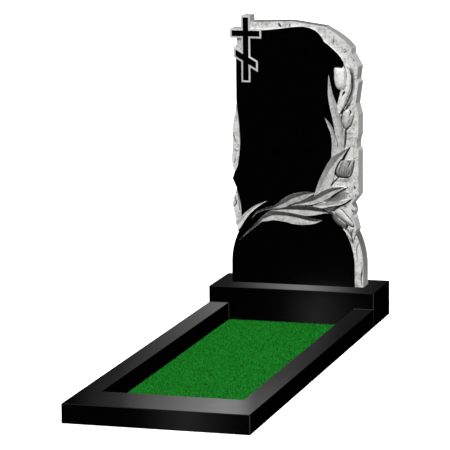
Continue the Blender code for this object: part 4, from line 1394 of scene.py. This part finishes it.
def grass_blades():
    """All blades as one mesh: a bent strip with a pointed tip for each."""
    grow = np.random.default_rng(41)
    roots = np.column_stack([
        grow.uniform(turf_low.x + EDGE_CLEARANCE, turf_high.x - EDGE_CLEARANCE, BLADE_COUNT),
        grow.uniform(turf_low.y + EDGE_CLEARANCE, turf_high.y - EDGE_CLEARANCE, BLADE_COUNT),
        np.full(BLADE_COUNT, turf_low.z + BACKING_THICKNESS * ROOT_SHARE)])
    heading = grow.uniform(0, 2 * np.pi, BLADE_COUNT)
    lean = grow.uniform(*BLADE_LEAN, BLADE_COUNT)
    length = grow.uniform(*BLADE_LENGTH, BLADE_COUNT)
    facing = heading + np.pi / 2 + grow.uniform(-BLADE_TWIST, BLADE_TWIST, BLADE_COUNT)
    across = np.column_stack([np.cos(facing), np.sin(facing), np.zeros(BLADE_COUNT)]) * BLADE_HALF_WIDTH
    away = np.column_stack([np.cos(heading), np.sin(heading), np.zeros(BLADE_COUNT)])
    up = np.array([0.0, 0.0, 1.0])

    def step(share, bend):
        """That share of each blade's length, in the direction that it has after that much of its bend."""
        angle = (lean * bend)[:, None]
        return share * length[:, None] * (away * np.sin(angle) + up * np.cos(angle))

    middle = roots + step(BEND_AT, BEND_BELOW)
    tip = middle + step(1 - BEND_AT, BEND_ABOVE)
    narrower = across * BLADE_WAIST
    points = np.stack([roots - across, roots + across, middle - narrower, middle + narrower, tip], axis=1)
    points[..., 0] = np.clip(points[..., 0], turf_low.x, turf_high.x)
    points[..., 1] = np.clip(points[..., 1], turf_low.y, turf_high.y)
    first = 5 * np.arange(BLADE_COUNT)[:, None]
    strips = np.concatenate([first + [0, 1, 3], first + [0, 3, 2], first + [2, 3, 4]])
    shades = np.repeat(grow.uniform(0, 1, BLADE_COUNT), 5)
    return points.reshape(-1, 3), strips, shades


blade_points, blade_faces, blade_shades = grass_blades()
pile = link_mesh("grass_pile", blade_points.tolist(), blade_faces.tolist(), [blade_green])
shade_layer = pile.data.attributes.new("shade", "FLOAT", "POINT")
shade_layer.data.foreach_set("value", blade_shades.astype(np.float32))
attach(pile, "root")
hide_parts("turf_mat")
pile.visible_glossy = False
print("pile:", len(blade_faces), "triangles, top at", round(blade_points[:, 2].max() * 1000, 1), "mm")

# %% Backing of the mat
BACKING_COLUMNS = 60
BACKING_LINES = 180
BACKING_WAVE = 0.0003
BACKING_WAVE_SIZE = 25.0


def mat_backing():
    """A thin sheet under the blades, slightly wavy on top."""
    across = np.linspace(turf_low.x, turf_high.x, BACKING_COLUMNS)
    along = np.linspace(turf_low.y, turf_high.y, BACKING_LINES)
    waves = per_metre(BACKING_WAVE_SIZE)
    points = []
    for level in (0, 1):
        for y in along:
            for x in across:
                wave = BACKING_WAVE * noise.noise(Vector((x * waves, y * waves, 0)))
                points.append((x, y, turf_low.z if level == 0 else turf_low.z + BACKING_THICKNESS + wave))
    columns, rows = len(across), len(along)
    top = columns * rows
    polygons = []
    for j in range(rows - 1):
        for i in range(columns - 1):
            a = j * columns + i
            polygons.append((a, a + columns, a + columns + 1, a + 1))
            polygons.append((top + a, top + a + 1, top + a + columns + 1, top + a + columns))
    border = list(range(columns)) + [j * columns + columns - 1 for j in range(1, rows)]
    border += [(rows - 1) * columns + i for i in range(columns - 2, -1, -1)]
    border += [j * columns for j in range(rows - 2, 0, -1)]
    for a, b in zip(border, border[1:] + border[:1]):
        polygons.append((a, b, top + b, top + a))
    return points, polygons


backing = link_mesh("grass_backing", *mat_backing(), [backing_green])
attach(backing, "root")
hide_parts("turf_mat")
backing.visible_glossy = False
print("backing:", len(backing.data.polygons), "faces")

# %% [markdown]
# ## Floor and light
# Black polish shows nothing but what it mirrors, so lighting it is a matter of choosing what it
# may see. Every object in Blender can be hidden from one kind of ray. The white floor, the wall
# round it and the sky are hidden from mirror rays, and so are the stone and the grass, because
# the photograph shows no mirror images. What is left to mirror are soft panels, placed below.

# %% Floor and wall
def studio_paint(name, glow):
    """Matt white paint with faint roller clouds, lifted by some light of its own so that it stays white."""
    made, tree, shader = new_material(name, 0.9, 1.5)
    place = add_node(tree, "ShaderNodeTexCoord").outputs["Object"]
    cloud = add_node(tree, "ShaderNodeTexNoise", Vector=place, Scale=0.6, Detail=2.0)
    colour = add_node(tree, "ShaderNodeMix", {"data_type": "RGBA"}, _0=cloud.outputs["Fac"],
                      _6=linear("#eeeeee"), _7=linear("#f4f4f4"))
    tree.links.new(colour.outputs[2], shader.inputs["Base Color"])
    shader.inputs["Emission Color"].default_value = (1, 1, 1, 1)
    shader.inputs["Emission Strength"].default_value = glow
    return made


def stage_only(part, camera_sees):
    """Mark a floor, wall or panel as no part of the object, and say which rays meet it."""
    part.visible_camera = camera_sees
    part.visible_glossy = not camera_sees
    part.visible_diffuse = False
    part.visible_shadow = False
    part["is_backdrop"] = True


FLOOR_HALF = 30.0
FLOOR_DROP = 0.0004
FLOOR_GLOW = 0.55
WALL_FOOT = -1.0
WALL_GLOW = 0.8
WALL_HEIGHT = 30.0
WALL_SIDES = 48
floor = link_mesh("studio_floor", [(x, y, -FLOOR_DROP) for x, y in
                                   ((-FLOOR_HALF, -FLOOR_HALF), (FLOOR_HALF, -FLOOR_HALF),
                                    (FLOOR_HALF, FLOOR_HALF), (-FLOOR_HALF, FLOOR_HALF))],
                  [(0, 1, 2, 3)], [studio_paint("matt_white_floor", FLOOR_GLOW)])
turns = [2 * math.pi * i / WALL_SIDES for i in range(WALL_SIDES)]
ring = [(FLOOR_HALF * math.cos(a), FLOOR_HALF * math.sin(a)) for a in turns]
wall = link_mesh("studio_wall", [(*xy, WALL_FOOT) for xy in ring] + [(*xy, WALL_HEIGHT) for xy in ring],
                 [(i, (i + 1) % WALL_SIDES, WALL_SIDES + (i + 1) % WALL_SIDES, WALL_SIDES + i)
                  for i in range(WALL_SIDES)], [studio_paint("matt_white_wall", WALL_GLOW)])
stage_only(floor, True)
stage_only(wall, True)
print("floor:", 2 * FLOOR_HALF, "m across")

# %% [markdown]
# ## One soft key light
# The stone is lit by one large, far and high lamp from the camera's side, so its shadows are
# soft and fall behind the object. A sun lamp with a wide angle does the same as a softbox and
# lights the whole floor alike. It stands at 55 degrees, so slopes that look down go dark and
# slopes that look up go pale, which brings the carving out. A weak white sky fills the rest.

# %% Sky and key light
KEY_ELEVATION = math.radians(55)
KEY_AZIMUTH = math.radians(20)
KEY_STRENGTH = 4.3
KEY_SOFTNESS = math.radians(14)
SKY_STRENGTH = 0.27
bpy.context.scene.view_settings.view_transform = "Standard"
world = bpy.data.worlds.new("white_sky")
bpy.context.scene.world = world
world.use_nodes = True
world.node_tree.nodes["Background"].inputs["Color"].default_value = linear("#ffffff")
world.node_tree.nodes["Background"].inputs["Strength"].default_value = SKY_STRENGTH
world.cycles_visibility.glossy = False
key_data = bpy.data.lights.new("key_light", "SUN")
key_data.energy = KEY_STRENGTH
key_data.angle = KEY_SOFTNESS
key_light = bpy.data.objects.new("key_light", key_data)
bpy.context.scene.collection.objects.link(key_light)
key_level = math.cos(KEY_ELEVATION)
to_key = Vector((math.sin(KEY_AZIMUTH) * key_level, -math.cos(KEY_AZIMUTH) * key_level,
                 math.sin(KEY_ELEVATION)))
key_light.rotation_mode = "QUATERNION"
key_light.rotation_quaternion = to_key.to_track_quat("Z", "Y")
key_light.visible_glossy = False
print("light on the front face:", round(KEY_STRENGTH / math.pi * -to_key.y + SKY_STRENGTH, 2))

# %% [markdown]
# ## Panels for the polish
# A top face seen at a low angle mirrors what stands far behind it, a front face mirrors what
# lies in front of it below the ground, and a chamfer mirrors what is above. So there is a panel
# for each. A panel glows by a colour ramp along its length, whose stops give the brightness at
# a place in metres. Light linking lets the plinth see one panel behind and the kerb another,
# since the photograph has its sheen in another place on each.

# %% Panel helpers
def glow_profile(name, axis, stops, height_stops=None):
    """An emission that follows the stops, given as (metres along the axis, brightness)."""
    made = bpy.data.materials.new(name)
    made.use_nodes = True
    tree = made.node_tree
    tree.nodes.clear()
    place = add_node(tree, "ShaderNodeTexCoord").outputs["Object"]
    parts = add_node(tree, "ShaderNodeSeparateXYZ", Vector=place)
    strength = None
    for along, levels in ((axis, stops), ("Z", height_stops)):
        if not levels:
            continue
        first, last = levels[0][0], levels[-1][0]
        share = add_node(tree, "ShaderNodeMapRange", Value=parts.outputs[along],
                         From_Min=first, From_Max=last)
        ramp = add_node(tree, "ShaderNodeValToRGB", Fac=share.outputs["Result"])
        ramp.color_ramp.interpolation = "LINEAR"
        for i, (metres, level) in enumerate(levels):
            spot = (metres - first) / (last - first)
            stop = ramp.color_ramp.elements[i] if i < 1 else (
                ramp.color_ramp.elements[-1] if i == len(levels) - 1 else ramp.color_ramp.elements.new(spot))
            stop.position = spot
            stop.color = (level, level, level, 1)
        along_it = ramp.outputs["Color"]
        if strength is None:
            strength = along_it
        else:
            strength = add_node(tree, "ShaderNodeMath", {"operation": "MULTIPLY"},
                                _0=strength, _1=along_it).outputs[0]
    glow = add_node(tree, "ShaderNodeEmission", Color=linear("#ffffff"), Strength=strength)
    clear = add_node(tree, "ShaderNodeBsdfTransparent")
    both = add_node(tree, "ShaderNodeAddShader", _0=glow.outputs["Emission"], _1=clear.outputs["BSDF"])
    add_node(tree, "ShaderNodeOutputMaterial", Surface=both.outputs["Shader"])
    return made


def mirror_panel(name, corners, glow, receivers=()):
    """A glowing quad that only mirror rays meet, those of the receivers alone where some are named."""
    panel = link_mesh(name, corners, [(0, 1, 2, 3)], [glow])
    stage_only(panel, False)
    if receivers:
        group = bpy.data.collections.new(name + "_receivers")
        for receiver in receivers:
            group.objects.link(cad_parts[receiver])
        panel.light_linking.receiver_collection = group
    return panel


BEHIND = 6.0


def upright(stops, y, z_low, z_high):
    """Corners of an upright quad across the view, as long as the stops are."""
    x_low, x_high = stops[0][0], stops[-1][0]
    return [(x_low, y, z_low), (x_high, y, z_low), (x_high, y, z_high), (x_low, y, z_high)]


print("a panel a metre wide:", upright([(0.0, 1.0), (1.0, 1.0)], BEHIND, 0.0, 1.0))

# %% Place the panels
KERB_SHEEN = [(-2.75, 0.0), (-2.63, 0.01), (-2.39, 0.105), (-2.32, 0.21), (-2.00, 0.62), (-1.85, 0.86),
              (-1.77, 0.76), (-1.69, 0.32), (-1.51, 0.33), (-1.31, 0.16), (-1.25, 0.085), (-1.10, 0.05),
              (-0.90, 0.0)]
KERB_SHEEN_HEIGHT = [(1.10, 0.5), (1.25, 0.5), (1.30, 0.42), (1.52, 0.34), (1.58, 0.36), (1.64, 0.51),
                     (1.71, 0.83), (1.77, 1.0), (2.10, 1.0)]
PLINTH_SHEEN = [(-2.10, 0.02), (-1.81, 0.04), (-1.75, 0.09), (-1.68, 0.18), (-1.48, 0.50), (-1.41, 0.50),
                (-1.28, 0.25), (-1.21, 0.128), (-1.15, 0.055), (-1.08, 0.03), (-0.80, 0.015)]
FRONT_SHEEN = [(-2.38, 0.0), (-2.30, 0.02), (-2.24, 0.09), (-2.12, 0.29), (-2.06, 0.43), (-2.00, 0.20),
               (-1.88, 0.07), (-1.76, 0.0)]
CORNER_GLINT = [(-3.4, 0.0), (-2.6, 0.8), (-0.6, 0.8), (0.2, 0.0)]
EDGE_GLINT = [(-2.4, 0.0), (-1.6, 0.35), (0.0, 0.35), (0.8, 0.0)]
PANEL_GAP = 0.01
PLINTH_SHEEN_HEIGHT = (0.8, 2.1)
FRONT_SHEEN_HEIGHT = (-2.1, -1.64)
CORNER_GLINT_X = 6.0
CORNER_GLINT_HEIGHT = (-2.2, -0.6)
EDGE_GLINT_WIDTH = (-2.0, 0.6)
EDGE_GLINT_Z = 3.0
mirror_panel("kerb_sheen", upright(KERB_SHEEN, BEHIND, KERB_SHEEN_HEIGHT[0][0], KERB_SHEEN_HEIGHT[-1][0]),
             glow_profile("kerb_sheen", "X", KERB_SHEEN, KERB_SHEEN_HEIGHT),
             ["kerb_left", "kerb_right", "kerb_front"])
mirror_panel("plinth_sheen", upright(PLINTH_SHEEN, BEHIND + PANEL_GAP, *PLINTH_SHEEN_HEIGHT),
             glow_profile("plinth_sheen", "X", PLINTH_SHEEN), ["plinth"])
mirror_panel("front_sheen", upright(FRONT_SHEEN, CAMERA_PLACE.y, *FRONT_SHEEN_HEIGHT),
             glow_profile("front_sheen", "X", FRONT_SHEEN))
low_z, high_z = CORNER_GLINT_HEIGHT
near_y, far_y = CORNER_GLINT[0][0], CORNER_GLINT[-1][0]
mirror_panel("corner_glint", [(CORNER_GLINT_X, near_y, low_z), (CORNER_GLINT_X, far_y, low_z),
                              (CORNER_GLINT_X, far_y, high_z), (CORNER_GLINT_X, near_y, high_z)],
             glow_profile("corner_glint", "Y", CORNER_GLINT))
left_x, right_x = EDGE_GLINT_WIDTH
near_y, far_y = EDGE_GLINT[0][0], EDGE_GLINT[-1][0]
mirror_panel("edge_glint", [(left_x, near_y, EDGE_GLINT_Z), (right_x, near_y, EDGE_GLINT_Z),
                            (right_x, far_y, EDGE_GLINT_Z), (left_x, far_y, EDGE_GLINT_Z)],
             glow_profile("edge_glint", "Y", EDGE_GLINT))

# %% [markdown]
# The box of what is shown now is measured against the box of the packed solids, and the
# difference in each direction is printed in millimetres.

# %% Sizes and finish
low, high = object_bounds()
growth = [(b - a) - (d - c) for a, b, c, d in zip(low, high, cad_low, cad_high)]
print("growth in mm:", [round(1000 * more, 2) for more in growth])
